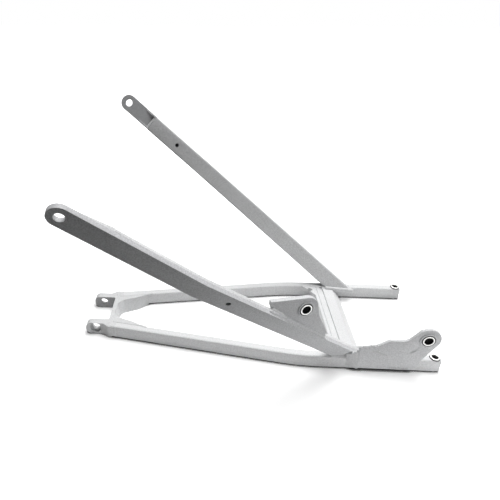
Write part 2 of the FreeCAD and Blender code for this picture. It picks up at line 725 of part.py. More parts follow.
def silencer_front_bracket():
    """Ear that stands on the right strut, cut along the strut's top face."""
    body = new_body("silencer_front_stock", front_ear_frame())
    bolt_ear(body, [
        ("- ear_front", "ear_radius + ear_rise"),
        ("0", "ear_radius"),
        ("ear_radius", "0"),
        ("ear_hip", "- ear_hip_drop"),
        ("ear_back", "- ear_drop"),
        ("ear_back", "- ear_drop - strut_height / 2"),
        ("- ear_front", "- strut_height / 4"),
    ], "ear_thickness", "0", "0", "- ear_thickness")

    def hollow(edge):
        spot = edge.CenterOfMass
        crosswise = abs(direction(edge).y) > 0.99
        waist = Vector(size("ear_hip"), spot.y, -size("ear_hip_drop"))
        return crosswise and spot.distanceToPoint(waist) < 0.5

    round_edges(body, "ear_sweep", hollow)
    below = doc.addObject("Part::Box", "BelowStrutTop")
    below.setExpression("Length", cell("half_length * 2"))
    below.setExpression("Width", cell("spread_back"))
    below.setExpression("Height", cell("2 * strut_height"))
    corner = Vector(0, -size("spread_back") / 2, -1.5 * size("strut_height"))
    below.Placement = strut_frame("right", -1).multiply(FreeCAD.Placement(corner, FreeCAD.Rotation()))
    seated = doc.addObject("Part::Cut", "Seated")
    seated.Base = body
    seated.Tool = below
    seated.Label = "silencer_front_bracket"
    doc.recompute()
    return keep(seated)


def silencer_rear_bracket():
    """Plate on the outside of the right rail, with an ear above the rail's rear end."""
    body = new_body("silencer_rear_bracket")
    rail_side = "( spread_back + rail_width ) / 2"
    heel = back("plate_heel")
    bolt = back("plate_bolt")
    bolt_ear(body, [
        (back("plate_front"), "plate_foot_z"),
        (heel, "plate_foot_z"),
        (f"{heel} + plate_heel_rise", "plate_foot_z + plate_heel_rise"),
        (back("plate_waist"), "plate_waist_z"),
        (f"{bolt} + plate_cheek", "plate_bolt_z - plate_cheek_drop"),
        (f"{bolt} - plate_brow_back", "plate_bolt_z + plate_brow_rise"),
        (back("plate_saddle"), "plate_saddle_z"),
        (back("plate_step"), "plate_saddle_z"),
        (back("plate_brow"), "plate_brow_z"),
        (back("plate_front"), "plate_front_z"),
    ], "plate_thickness", bolt, "plate_bolt_z", rail_side)

    def hollow(edge):
        spot = edge.CenterOfMass
        crosswise = abs(direction(edge).y) > 0.99
        corners = ("plate_saddle", "plate_brow", "plate_waist")
        return crosswise and any(abs(spot.x - back_x(alias)) < 0.5 for alias in corners)

    round_edges(body, "plate_sweep", hollow)
    return keep(body)


def grommet(name, frame, thickness):
    """Rubber grommet with a lip on each side of its plate."""
    body = new_body(f"silencer_{name}_grommet", frame)
    section = new_sketch(body, "XY_Plane")
    inner = "sleeve_bore + sleeve_wall + fit_gap"
    waist = "ear_hole - fit_gap"
    lip = "ear_hole + grommet_lip"
    outline(section, [
        (inner, "- lip_thickness"),
        (lip, "- lip_thickness"),
        (lip, "0"),
        (waist, "0"),
        (waist, thickness),
        (lip, thickness),
        (lip, f"{thickness} + lip_thickness"),
        (inner, f"{thickness} + lip_thickness"),
    ])
    turned = body.newObject("PartDesign::Revolution", "Revolution")
    turned.Profile = section
    turned.ReferenceAxis = (section, ["V_Axis"])
    turned.Angle = 360
    body.Tip = turned
    doc.recompute()
    return keep(body)


def sleeve(name, frame, thickness):
    """Steel sleeve through a grommet."""
    body = new_body(f"silencer_{name}_sleeve", frame)
    ring = new_sketch(body, "XZ_Plane", f"- ( {thickness} + lip_thickness + sleeve_proud + sleeve_tail )")
    circle(ring, "0", "0", "sleeve_bore + sleeve_wall")
    circle(ring, "0", "0", "sleeve_bore")
    pad(body, ring, f"{thickness} + 2 * lip_thickness + 2 * sleeve_proud + sleeve_tail")
    return keep(body)


MITRED = 1


def foot_weld(name, side, layers):
    """Round weld bead where a strut's foot meets the top of its rail."""
    frame = strut_frame(name, side)
    span = strut_span(name)
    lower = Vector(span - size("knee_from_tip"), -side * size("knee_bow"), 0)
    run = frame.Rotation.multVec(lower).normalize()
    corners = []
    for out, rise in ((1, -1), (1, 1), (-1, 1), (-1, -1)):
        local = Vector(span, side * out * size("strut_thickness") / 2, rise * size("strut_height") / 2)
        spot = frame.multVec(local)
        corners.append(spot + run * ((size("rail_height") - spot.z) / run.z))
    start = (corners[0] + corners[-1]) / 2
    path = Part.makePolygon([start] + corners + [start])
    section = Part.Wire(Part.makeCircle(size("foot_bead"), start, corners[0] - start))
    bead = path.makePipeShell([section], True, False, MITRED)
    reach = 2 * size("half_length")
    face = side * (size("spread_back") + size("rail_width")) / 2
    corner = Vector(-reach / 2, min(face, face - side * size("rail_width")), size("rail_height"))
    over_rail = Part.makeBox(reach, size("rail_width"), reach, corner)
    bead = bead.common(over_rail)
    for layer in layers:
        bead = bead.cut(layer.Shape)
    weld = doc.addObject("Part::Feature", "Weld")
    weld.Shape = max(bead.Solids, key=lambda solid: solid.Volume)
    weld.Label = f"{name}_foot_weld"
    return keep(weld)


for rail_name, rail_side in SIDES:
    seat_rail(rail_name, rail_side)
    rail_cap(rail_name, rail_side)
    end_boss(rail_name, rail_side)
    corner_gusset(rail_name, rail_side)
    strut_layers(rail_name, rail_side)
front_yoke()
crossmember()
silencer_front_bracket()
silencer_rear_bracket()
for ear_name, ear_frame, ear_wall in (
    ("front", front_ear_frame(), "ear_thickness"),
    ("rear", rear_plate_frame(), "plate_thickness"),
):
    grommet(ear_name, ear_frame, ear_wall)
    sleeve(ear_name, ear_frame, ear_wall)

doc.recompute()
for item in doc.Objects:
    if "Invalid" in item.State or "Error" in item.State:
        raise RuntimeError(f"{item.Label} did not build: {item.State}")
os.makedirs("parts", exist_ok=True)
for node in nodes:
    if node.Shape.isNull() or not node.Shape.isValid() or not node.Shape.Solids:
        raise RuntimeError(f"{node.Label} has no sound shape")
    node.Shape.exportStep(f"parts/{node.Label}.step")
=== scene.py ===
"""Looks of a dirt bike rear subframe that lies upside down on a pale floor.

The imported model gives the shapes. This script softens their edges, lays rippled weld beads along
the joints, adds threads in the bosses, paints every piece, and sets floor, lights and camera.
Sizes are in millimetres and are turned into metres where a mesh is made.
"""

import json
import logging
import math
from dataclasses import dataclass
from enum import Enum
from typing import Iterable, Sequence

import bpy
from mathutils import Matrix, Vector

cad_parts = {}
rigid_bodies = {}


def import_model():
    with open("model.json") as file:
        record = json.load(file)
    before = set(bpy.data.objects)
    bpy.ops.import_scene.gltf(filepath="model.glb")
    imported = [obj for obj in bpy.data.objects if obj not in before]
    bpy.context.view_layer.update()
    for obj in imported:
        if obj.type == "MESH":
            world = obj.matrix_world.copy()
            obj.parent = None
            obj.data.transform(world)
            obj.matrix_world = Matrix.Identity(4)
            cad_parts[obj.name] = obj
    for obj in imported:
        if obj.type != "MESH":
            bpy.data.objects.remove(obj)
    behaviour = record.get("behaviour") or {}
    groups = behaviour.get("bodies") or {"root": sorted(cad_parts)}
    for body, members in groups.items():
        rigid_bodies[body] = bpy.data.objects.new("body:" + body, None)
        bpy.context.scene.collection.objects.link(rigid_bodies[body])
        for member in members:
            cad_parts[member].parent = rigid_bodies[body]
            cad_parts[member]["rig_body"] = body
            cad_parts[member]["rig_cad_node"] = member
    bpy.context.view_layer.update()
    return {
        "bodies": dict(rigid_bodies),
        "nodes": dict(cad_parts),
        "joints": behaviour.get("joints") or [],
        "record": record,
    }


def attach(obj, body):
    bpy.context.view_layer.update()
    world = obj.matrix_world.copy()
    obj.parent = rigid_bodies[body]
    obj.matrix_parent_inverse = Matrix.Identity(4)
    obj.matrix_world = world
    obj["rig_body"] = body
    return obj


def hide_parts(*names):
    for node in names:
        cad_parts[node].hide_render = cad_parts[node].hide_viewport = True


MM = 0.001
BODY = "root"
LOG = logging.getLogger("subframe")
SMOOTH_DEGREES = 32.0
DOWN = Vector((0.0, 0.0, -1.0))


class Side(Enum):
    """Side of the bike, with the sign of its y."""

    RIGHT = -1
    LEFT = 1

    @property
    def word(self) -> str:
        """Name that the CAD nodes start with."""
        return self.name.lower()


class Slot(Enum):
    """Material slots of the record."""

    CAST = "cast_silver"
    RAIL = "rail_silver"
    STRUT = "strut_silver"
    CHANNEL = "channel_silver"
    CROSS = "cross_silver"
    BRACKET = "bracket_silver"
    WELD = "weld_silver"
    STEEL = "zinc_steel"
    RUBBER = "grommet_rubber"


def in_metres(point: Sequence[float]) -> Vector:
    """Turn a point in millimetres into metres.

    Args:
        point: Three coordinates in millimetres.

    Returns:
        The same point in metres.
    """
    return Vector(point) * MM


def alone(piece: bpy.types.Object) -> None:
    """Make a piece the only selected and active one.

    Args:
        piece: The object to work on.
    """
    bpy.ops.object.select_all(action="DESELECT")
    piece.hide_set(False)
    piece.select_set(True)
    bpy.context.view_layer.objects.active = piece


def edit_all(piece: bpy.types.Object) -> None:
    """Enter edit mode on a piece with everything selected."""
    alone(piece)
    bpy.ops.object.mode_set(mode="EDIT")
    bpy.ops.mesh.select_all(action="SELECT")


def leave_edit() -> None:
    """Go back to object mode."""
    bpy.ops.object.mode_set(mode="OBJECT")


def settle(piece: bpy.types.Object) -> None:
    """Move a piece's place, turn and scale into its mesh."""
    alone(piece)
    bpy.ops.object.transform_apply(location=True, rotation=True, scale=True)


def apply_all(piece: bpy.types.Object) -> None:
    """Apply every modifier of a piece, in order."""
    alone(piece)
    for modifier in list(piece.modifiers):
        bpy.ops.object.modifier_apply(modifier=modifier.name)


def join(pieces: Sequence[bpy.types.Object], name: str) -> bpy.types.Object:
    """Join several pieces into one mesh.

    Args:
        pieces: The objects to join.
        name: Name of the joined piece.

    Returns:
        The joined piece.
    """
    bpy.ops.object.select_all(action="DESELECT")
    for piece in pieces:
        piece.select_set(True)
    bpy.context.view_layer.objects.active = pieces[0]
    if len(pieces) > 1:
        bpy.ops.object.join()
    joined = bpy.context.view_layer.objects.active
    rename(joined, name)
    return joined


def rename(piece: bpy.types.Object, name: str) -> None:
    """Name a piece and its mesh alike."""
    piece.name = name
    piece.data.name = name


def repeat(piece: bpy.types.Object, count: int, step: Sequence[float]) -> None:
    """Repeat a piece at even steps.

    Args:
        piece: The object to repeat.
        count: How many there are in the end.
        step: Step from one to the next, in metres.
    """
    copies = piece.modifiers.new("copies", "ARRAY")
    copies.count = count
    copies.use_relative_offset = False
    copies.use_constant_offset = True
    copies.constant_offset_displace = step
    apply_all(piece)


def slanted_block(name: str, size: Sequence[float], shift: Sequence[float], rounding: float) -> bpy.types.Object:
    """Model a block, push its front inner edge aside and round its edges.

    Args:
        name: Name of the block.
        size: Its length, depth and height in millimetres.
        shift: How far the front inner edge is pushed, in millimetres.
        rounding: Width of its rounded edges, in millimetres.

    Returns:
        The block, with its middle at the origin.
    """
    bpy.ops.object.select_all(action="DESELECT")
    bpy.ops.mesh.primitive_cube_add(size=MM)
    block = bpy.context.view_layer.objects.active
    rename(block, name)
    edit_all(block)
    bpy.ops.transform.resize(value=size)
    bpy.ops.mesh.select_all(action="DESELECT")
    leave_edit()
    for vertex in block.data.vertices:
        vertex.select = vertex.co.x < 0 and vertex.co.y < 0
    bpy.ops.object.mode_set(mode="EDIT")
    bpy.ops.transform.translate(value=in_metres(shift))
    leave_edit()
    bevel = block.modifiers.new("soft_edges", "BEVEL")
    bevel.width = rounding * MM
    bevel.segments = 3
    apply_all(block)
    return block


def link(
    tree: bpy.types.NodeTree, source: bpy.types.Node, output: str, target: bpy.types.Node, entry: str | int
) -> None:
    """Link one node's output to another node's input by their names."""
    tree.links.new(source.outputs[output], target.inputs[entry])


def node(tree: bpy.types.NodeTree, kind: str, values: dict | None = None, **settings: object) -> bpy.types.Node:
    """Add a node to a tree.

    Args:
        tree: The node tree.
        kind: Type of the node, without its common first part.
        values: Values of its inputs, by name or number.
        **settings: Its other settings.

    Returns:
        The node.
    """
    made = tree.nodes.new(f"ShaderNode{kind}")
    for name, value in settings.items():
        setattr(made, name, value)
    for entry, value in (values or {}).items():
        made.inputs[entry].default_value = value
    return made


def texture(tree: bpy.types.NodeTree, kind: str, values: dict | None = None) -> bpy.types.Node:
    """Add a texture that reads object coordinates.

    Args:
        tree: The node tree.
        kind: Type of the texture node.
        values: Values of its inputs, by name.

    Returns:
        The texture node.
    """
    made = node(tree, kind, values)
    link(tree, node(tree, "TexCoord"), "Object", made, "Vector")
    return made


def maths(tree: bpy.types.NodeTree, operation: str, *terms: float | tuple[bpy.types.Node, str]) -> bpy.types.Node:
    """Add a maths node.

    Args:
        tree: The node tree.
        operation: What it works out.
        *terms: Numbers, or pairs of a node and the name of its output.

    Returns:
        The node, with output Value.
    """
    made = node(tree, "Math", operation=operation)
    for entry, term in enumerate(terms):
        if isinstance(term, tuple):
            link(tree, *term, made, entry)
        else:
            made.inputs[entry].default_value = term
    return made


def remap(
    tree: bpy.types.NodeTree, source: bpy.types.Node, output: str,
    given: tuple[float, float], wanted: tuple[float, float], curve: str = "LINEAR",
) -> bpy.types.Node:
    """Map a node's output from one range to another.

    Args:
        tree: The node tree.
        source: The node whose output is mapped.
        output: Name of that output.
        given: The range it comes from.
        wanted: The range it goes to.
        curve: Shape of the passage between the two ends.

    Returns:
        The node, with output Result.
    """
    ends = {"From Min": given[0], "From Max": given[1], "To Min": wanted[0], "To Max": wanted[1]}
    made = node(tree, "MapRange", ends, interpolation_type=curve)
    link(tree, source, output, made, "Value")
    return made


def effect(tree: bpy.types.NodeTree, name: str, values: dict | None = None) -> bpy.types.Node:
    """Use one of the shared node groups.

    Args:
        tree: The node tree of a material.
        name: Name of the group.
        values: Values of its inputs, by name.

    Returns:
        The group's node.
    """
    return node(tree, "Group", values, node_tree=bpy.data.node_groups[name])


def tint(
    tree: bpy.types.NodeTree, colour: tuple[float, float, float] | bpy.types.Node, source: bpy.types.Node, output: str
) -> bpy.types.Node:
    """Make a colour lighter and darker by a node's output.

    Args:
        tree: The node tree of a material.
        colour: The colour, or a node that gives it as Vector.
        source: The node whose output scales the colour.
        output: Name of that output.

    Returns:
        The node, with output Vector.
    """
    made = node(tree, "VectorMath", operation="SCALE")
    if isinstance(colour, tuple):
        made.inputs[0].default_value = colour
    else:
        link(tree, colour, "Vector", made, 0)
    link(tree, source, output, made, "Scale")
    return made


def relief(tree: bpy.types.NodeTree, source: bpy.types.Node, depth_mm: float, strength: float = 1.0) -> bpy.types.Node:
    """Turn a node's output Height into bumps.

    Args:
        tree: The node tree of a material.
        source: The node that gives the height.
        depth_mm: Depth of the bumps.
        strength: How much of them is seen.

    Returns:
        The node, with output Normal.
    """
    made = node(tree, "Bump", {"Distance": depth_mm * MM, "Strength": strength})
    link(tree, source, "Height", made, "Height")
    return made


def blank_finish(name: str, values: dict[str, float]) -> tuple[bpy.types.Material, bpy.types.NodeTree, bpy.types.Node]:
    """Make a material with its shader set.

    Args:
        name: Name of the material.
        values: Values of the shader's inputs, by name.

    Returns:
        The material, its node tree and its shader.
    """
    material = bpy.data.materials.new(name)
    material.use_nodes = True
    shader = material.node_tree.nodes["Principled BSDF"]
    for entry, value in values.items():
        shader.inputs[entry].default_value = value
    return material, material.node_tree, shader


def blank_group(
    name: str, inputs: dict[str, float], outputs: Sequence[str]
) -> tuple[bpy.types.NodeTree, bpy.types.Node, bpy.types.Node]:
    """Make a node group with its sockets.

    Args:
        name: Name of the group.
        inputs: Defaults of its inputs, by name.
        outputs: Names of its outputs.

    Returns:
        The group and the two nodes that stand for its inputs and outputs.
    """
    group = bpy.data.node_groups.new(name, "ShaderNodeTree")
    for word, value in inputs.items():
        made = group.interface.new_socket(name=word, in_out="INPUT", socket_type="NodeSocketFloat")
        made.default_value = value
    for word in outputs:
        group.interface.new_socket(name=word, in_out="OUTPUT", socket_type="NodeSocketFloat")
    return group, group.nodes.new("NodeGroupInput"), group.nodes.new("NodeGroupOutput")


def paint_grain() -> None:
    """Build the group for powder-coated silver paint.

    It gives fine speckle and cloudy tone as Tone, orange peel as Height, and Shine.
    """
    defaults = {"Grain": 1400.0, "Speckle": 0.08, "Cloud": 0.05}
    group, inputs, outputs = blank_group("paint_grain", defaults, ("Tone", "Shine", "Height"))
    fine = texture(group, "TexNoise", {"Detail": 2.0, "Roughness": 0.6})
    link(group, inputs, "Grain", fine, "Scale")
    soft = texture(group, "TexNoise", {"Scale": 55.0, "Detail": 3.0})
    terms = []
    for pattern, strength in ((fine, "Speckle"), (soft, "Cloud")):
        centred = maths(group, "SUBTRACT", (pattern, "Fac"), 0.5)
        terms.append((maths(group, "MULTIPLY", (centred, "Value"), (inputs, strength)), "Value"))
    both = maths(group, "ADD", *terms)
    link(group, maths(group, "ADD", (both, "Value"), 1.0), "Value", outputs, "Tone")
    link(group, remap(group, fine, "Fac", (0.3, 0.7), (-0.05, 0.05)), "Result", outputs, "Shine")
    link(group, fine, "Fac", outputs, "Height")


def cast_skin() -> None:
    """Build the group for a sand-cast surface under paint.

    It gives soft lumps and small pits as Height, and the lumps' Shade.
    """
    group, inputs, outputs = blank_group("cast_skin", {"Lump": 260.0, "Pit": 900.0}, ("Height", "Shade"))
    lump = texture(group, "TexNoise", {"Detail": 2.0})
    link(group, inputs, "Lump", lump, "Scale")
    pit = texture(group, "TexVoronoi")
    link(group, inputs, "Pit", pit, "Scale")
    total = maths(group, "MULTIPLY_ADD", (pit, "Distance"), 0.35, (lump, "Fac"))
    link(group, total, "Value", outputs, "Height")
    link(group, remap(group, lump, "Fac", (0.3, 0.7), (0.96, 1.03)), "Result", outputs, "Shade")


def brushed_lines() -> None:
    """Build the group for turned and plated steel.

    It gives fine rings as Height, and stains as Stain.
    """
    group, inputs, outputs = blank_group("brushed_lines", {"Pitch": 2600.0}, ("Height", "Stain"))
    rings = texture(group, "TexNoise", {"Detail": 1.0})
    link(group, inputs, "Pitch", rings, "Scale")
    link(group, rings, "Fac", outputs, "Height")
    stain = texture(group, "TexNoise", {"Scale": 240.0})
    link(group, remap(group, stain, "Fac", (0.0, 1.0), (0.8, 1.15)), "Result", outputs, "Stain")


@dataclass(frozen=True)
class SilverPaint:
    """Silver powder coat, on extruded or cast aluminium."""

    slot: Slot
    colour: tuple[float, float, float]
    roughness: float = 0.5
    gloss: float = 0.25
    grain: float = 850.0
    speckle: float = 0.5
    cloud: float = 0.08
    peel_mm: float = 0.05
    lump_mm: float = 0.25
    cast: bool = False

    def build(self) -> bpy.types.Material:
        """Make the material.

        Returns:
            The painted finish.
        """
        material, tree, shader = blank_finish(self.slot.value, {"Specular IOR Level": self.gloss})
        grain = effect(tree, "paint_grain", {"Grain": self.grain, "Speckle": self.speckle, "Cloud": self.cloud})
        colour = tint(tree, self.colour, grain, "Tone")
        bumps = relief(tree, grain, self.peel_mm, 0.6)
        link(tree, maths(tree, "ADD", (grain, "Shine"), self.roughness), "Value", shader, "Roughness")
        if self.cast:
            skin = effect(tree, "cast_skin")
            colour = tint(tree, colour, skin, "Shade")
            lumps = relief(tree, skin, self.lump_mm, 0.7)
            link(tree, bumps, "Normal", lumps, "Normal")
            bumps = lumps
        link(tree, colour, "Vector", shader, "Base Color")
        link(tree, bumps, "Normal", shader, "Normal")
        return material


@dataclass(frozen=True)
class PlatedSteel:
    """Zinc-plated steel, turned."""

    slot: Slot = Slot.STEEL
    colour: tuple[float, float, float] = (0.80, 0.80, 0.78)
    roughness: float = 0.3
    ring_mm: float = 0.02

    def build(self) -> bpy.types.Material:
        """Make the material.

        Returns:
            The plated finish.
        """
        material, tree, shader = blank_finish(self.slot.value, {"Metallic": 1.0, "Roughness": self.roughness})
        lines = effect(tree, "brushed_lines")
        link(tree, tint(tree, self.colour, lines, "Stain"), "Vector", shader, "Base Color")
        link(tree, relief(tree, lines, self.ring_mm), "Normal", shader, "Normal")
        return material


@dataclass(frozen=True)
class BlackRubber:
    """Moulded black rubber with a dusty bloom."""

    slot: Slot = Slot.RUBBER
    colour: tuple[float, float, float] = (0.022, 0.022, 0.024)
    roughness: float = 0.62
    grain: float = 2200.0
    speckle: float = 0.6
    cloud: float = 0.5
    grain_mm: float = 0.05

    def build(self) -> bpy.types.Material:
        """Make the material.

        Returns:
            The rubber finish.
        """
        material, tree, shader = blank_finish(self.slot.value, {"Roughness": self.roughness})
        grain = effect(tree, "paint_grain", {"Grain": self.grain, "Speckle": self.speckle, "Cloud": self.cloud})
        link(tree, tint(tree, self.colour, grain, "Tone"), "Vector", shader, "Base Color")
        link(tree, relief(tree, grain, self.grain_mm), "Normal", shader, "Normal")
        return material


@dataclass(frozen=True)
class BareInside:
    """Near-black finish that paints the shade deep in holes, bores and narrow gaps."""

    colour: tuple[float, float, float] = (0.016, 0.016, 0.018)
    roughness: float = 0.5
    gloss: float = 0.08

    def build(self) -> bpy.types.Material:
        """Make the material.

        Returns:
            The dark finish.
        """
        values = {"Roughness": self.roughness, "Specular IOR Level": self.gloss}
        material, tree, shader = blank_finish("bare_inside", values)
        stains = effect(tree, "brushed_lines")
        link(tree, tint(tree, self.colour, stains, "Stain"), "Vector", shader, "Base Color")
        return material


class PaintShop:
    """Holds every finish of the object by its slot."""

    def __init__(self) -> None:
        """Build the node groups and all finishes."""
        paint_grain()
        cast_skin()
        brushed_lines()
        finishes = (
            SilverPaint(Slot.CAST, (0.66, 0.665, 0.67), roughness=0.55, cast=True),
            SilverPaint(Slot.RAIL, (0.71, 0.715, 0.72)),
            SilverPaint(Slot.STRUT, (0.55, 0.555, 0.565), speckle=0.9),
            SilverPaint(Slot.CHANNEL, (0.68, 0.685, 0.69), speckle=0.8),
            SilverPaint(Slot.CROSS, (0.70, 0.705, 0.71)),
            SilverPaint(Slot.BRACKET, (0.62, 0.625, 0.635), speckle=0.7),
            SilverPaint(Slot.WELD, (0.66, 0.665, 0.67), roughness=0.55, cast=True),
            PlatedSteel(),
            BlackRubber(),
        )
        self.materials = {finish.slot: finish.build() for finish in finishes}
        # Near-black finish for painted shade in bores, threads and gaps.
        self.inside = BareInside().build()

    def dress(self, piece: bpy.types.Object, slot: Slot) -> bpy.types.Object:
        """Give a new piece the finish of its slot.

        Args:
            piece: A new piece.
            slot: The slot whose finish it gets.

        Returns:
            The same piece.
        """
        return self.coat(piece, self.materials[slot])

    def darken(self, piece: bpy.types.Object) -> bpy.types.Object:
        """Give a new piece the near-black painted shade of a deep bore or gap.

        Args:
            piece: A new piece inside a hole.

        Returns:
            The same piece.
        """
        return self.coat(piece, self.inside)

    def coat(self, piece: bpy.types.Object, material: bpy.types.Material) -> bpy.types.Object:
        """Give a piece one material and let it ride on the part.

        Args:
            piece: A new piece.
            material: The material it gets.

        Returns:
            The same piece.
        """
        piece.data.materials.clear()
        piece.data.materials.append(material)
        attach(piece, BODY)
        return piece


@dataclass(frozen=True)
class EdgeSoftener:
    """Makes a copy of a CAD node whose sharp edges are rounded off."""

    width_mm: float = 0.5
    segments: int = 2
    sharp_degrees: float = SMOOTH_DEGREES
    same_point_mm: float = 0.002
    same_plane_degrees: float = 0.6

    def soften(self, node: bpy.types.Object, name: str) -> bpy.types.Object:
        """Copy a node, merge its triangles into faces and bevel its edges.

        Args:
            node: The CAD node.
            name: Name of the new piece.

        Returns:
            The softened piece, which replaces the node.
        """
        alone(node)
        bpy.ops.object.duplicate()
        piece = bpy.context.view_layer.objects.active
        rename(piece, name)
        piece.parent = None
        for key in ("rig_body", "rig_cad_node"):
            if key in piece:
                del piece[key]
        edit_all(piece)
        bpy.ops.mesh.remove_doubles(threshold=self.same_point_mm * MM)
        bpy.ops.mesh.dissolve_limited(angle_limit=math.radians(self.same_plane_degrees))
        leave_edit()
        bevel = piece.modifiers.new("soft_edges", "BEVEL")
        bevel.width = self.width_mm * MM
        bevel.segments = self.segments
        bevel.limit_method = "ANGLE"
        bevel.angle_limit = math.radians(self.sharp_degrees)
        bevel.use_clamp_overlap = True
        bevel.harden_normals = False
        apply_all(piece)
        alone(piece)
        bpy.ops.object.shade_smooth_by_angle(angle=math.radians(self.sharp_degrees))
        flatten = piece.modifiers.new("flat_faces", "WEIGHTED_NORMAL")
        flatten.keep_sharp = True
        flatten.weight = 80
        apply_all(piece)
        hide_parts(node.name)
        return piece


@dataclass
class WeldBead:
    """Rippled weld bead that follows straight runs."""

    name: str
    runs: list[tuple[Sequence[float], Sequence[float]]]
    radius_mm: float = 1.5
    pitch_mm: float = 1.1
    voxel_mm: float = 0.34
    smoothing: int = 2

    def build(self) -> bpy.types.Object:
        """Lay the ripples of every run and melt them together.

        Returns:
            The bead as one closed mesh.
        """
        laid = [self.lay(Vector(start), Vector(end)) for start, end in self.runs]
        bead = join(laid, self.name)
        melt = bead.modifiers.new("melt", "REMESH")
        melt.mode = "VOXEL"
        melt.voxel_size = self.voxel_mm * MM
        soften = bead.modifiers.new("soften", "SMOOTH")
        soften.factor = 0.5
        soften.iterations = self.smoothing
        apply_all(bead)
        alone(bead)
        bpy.ops.object.shade_smooth()
        return bead

    def lay(self, start: Vector, end: Vector) -> bpy.types.Object:
        """Lay one straight run of ripples.

        Args:
            start: Where the run starts, in millimetres.
            end: Where it ends, in millimetres.

        Returns:
            The run, in its place.
        """
        span = end - start
        count = max(2, round(span.length / self.pitch_mm) + 1)
        bpy.ops.object.select_all(action="DESELECT")
        bpy.ops.mesh.primitive_uv_sphere_add(segments=12, ring_count=8, radius=self.radius_mm * MM)
        ripple = bpy.context.view_layer.objects.active
        edit_all(ripple)
        bpy.ops.transform.resize(value=(0.62, 1.0, 1.0))
        leave_edit()
        repeat(ripple, count, (span.length / (count - 1) * MM, 0.0, 0.0))
        turn = span.to_track_quat("X", "Z").to_matrix().to_4x4()
        ripple.matrix_world = Matrix.Translation(start * MM) @ turn
        settle(ripple)
        return ripple


@dataclass(frozen=True)
class RoundInsert:
    """Turned ring or plug along an axis, with softened rims."""

    name: str
    outer_mm: float
    inner_mm: float
    depth_mm: float
    rim_mm: float = 0.12

    def build(self, face: Vector, axis: Vector) -> bpy.types.Object:
        """Turn the piece and put it in its place.

        Args:
            face: Middle of its outer face, in millimetres.
            axis: Direction from the outer face into the piece.

        Returns:
            A ring, or a plug where the inner radius is 0.
        """
        bpy.ops.object.select_all(action="DESELECT")
        fill = "NOTHING" if self.inner_mm > 0 else "NGON"
        bpy.ops.mesh.primitive_cylinder_add(
            vertices=64, radius=self.outer_mm * MM, depth=self.depth_mm * MM, end_fill_type=fill
        )
        piece = bpy.context.view_layer.objects.active
        rename(piece, self.name)
        if self.inner_mm > 0:
            wall = piece.modifiers.new("wall", "SOLIDIFY")
            wall.thickness = (self.outer_mm - self.inner_mm) * MM
            wall.offset = -1.0
        rims = piece.modifiers.new("rims", "BEVEL")
        rims.width = self.rim_mm * MM
        rims.segments = 2
        rims.limit_method = "ANGLE"
        rims.angle_limit = math.radians(50.0)
        apply_all(piece)
        edit_all(piece)
        bpy.ops.mesh.normals_make_consistent(inside=False)
        leave_edit()
        middle = face + axis.normalized() * (self.depth_mm / 2)
        turn = axis.to_track_quat("Z", "Y").to_matrix().to_4x4()
        piece.matrix_world = Matrix.Translation(middle * MM) @ turn
        settle(piece)
        bpy.ops.object.shade_smooth_by_angle(angle=math.radians(SMOOTH_DEGREES))
        return piece


@dataclass
class FrontYoke:
    """Cast yoke with its two bolt lugs."""

    rounding_mm: float = 0.9

    def build(self, frame: dict, shop: PaintShop) -> list[bpy.types.Object]:
        """Soften the casting and paint it.

        Args:
            frame: The loaded frame.
            shop: The finishes.

        Returns:
            The new pieces.
        """
        casting = EdgeSoftener(self.rounding_mm, 3).soften(frame["nodes"]["front_yoke"], "yoke_casting")
        return [shop.dress(casting, Slot.CAST)]


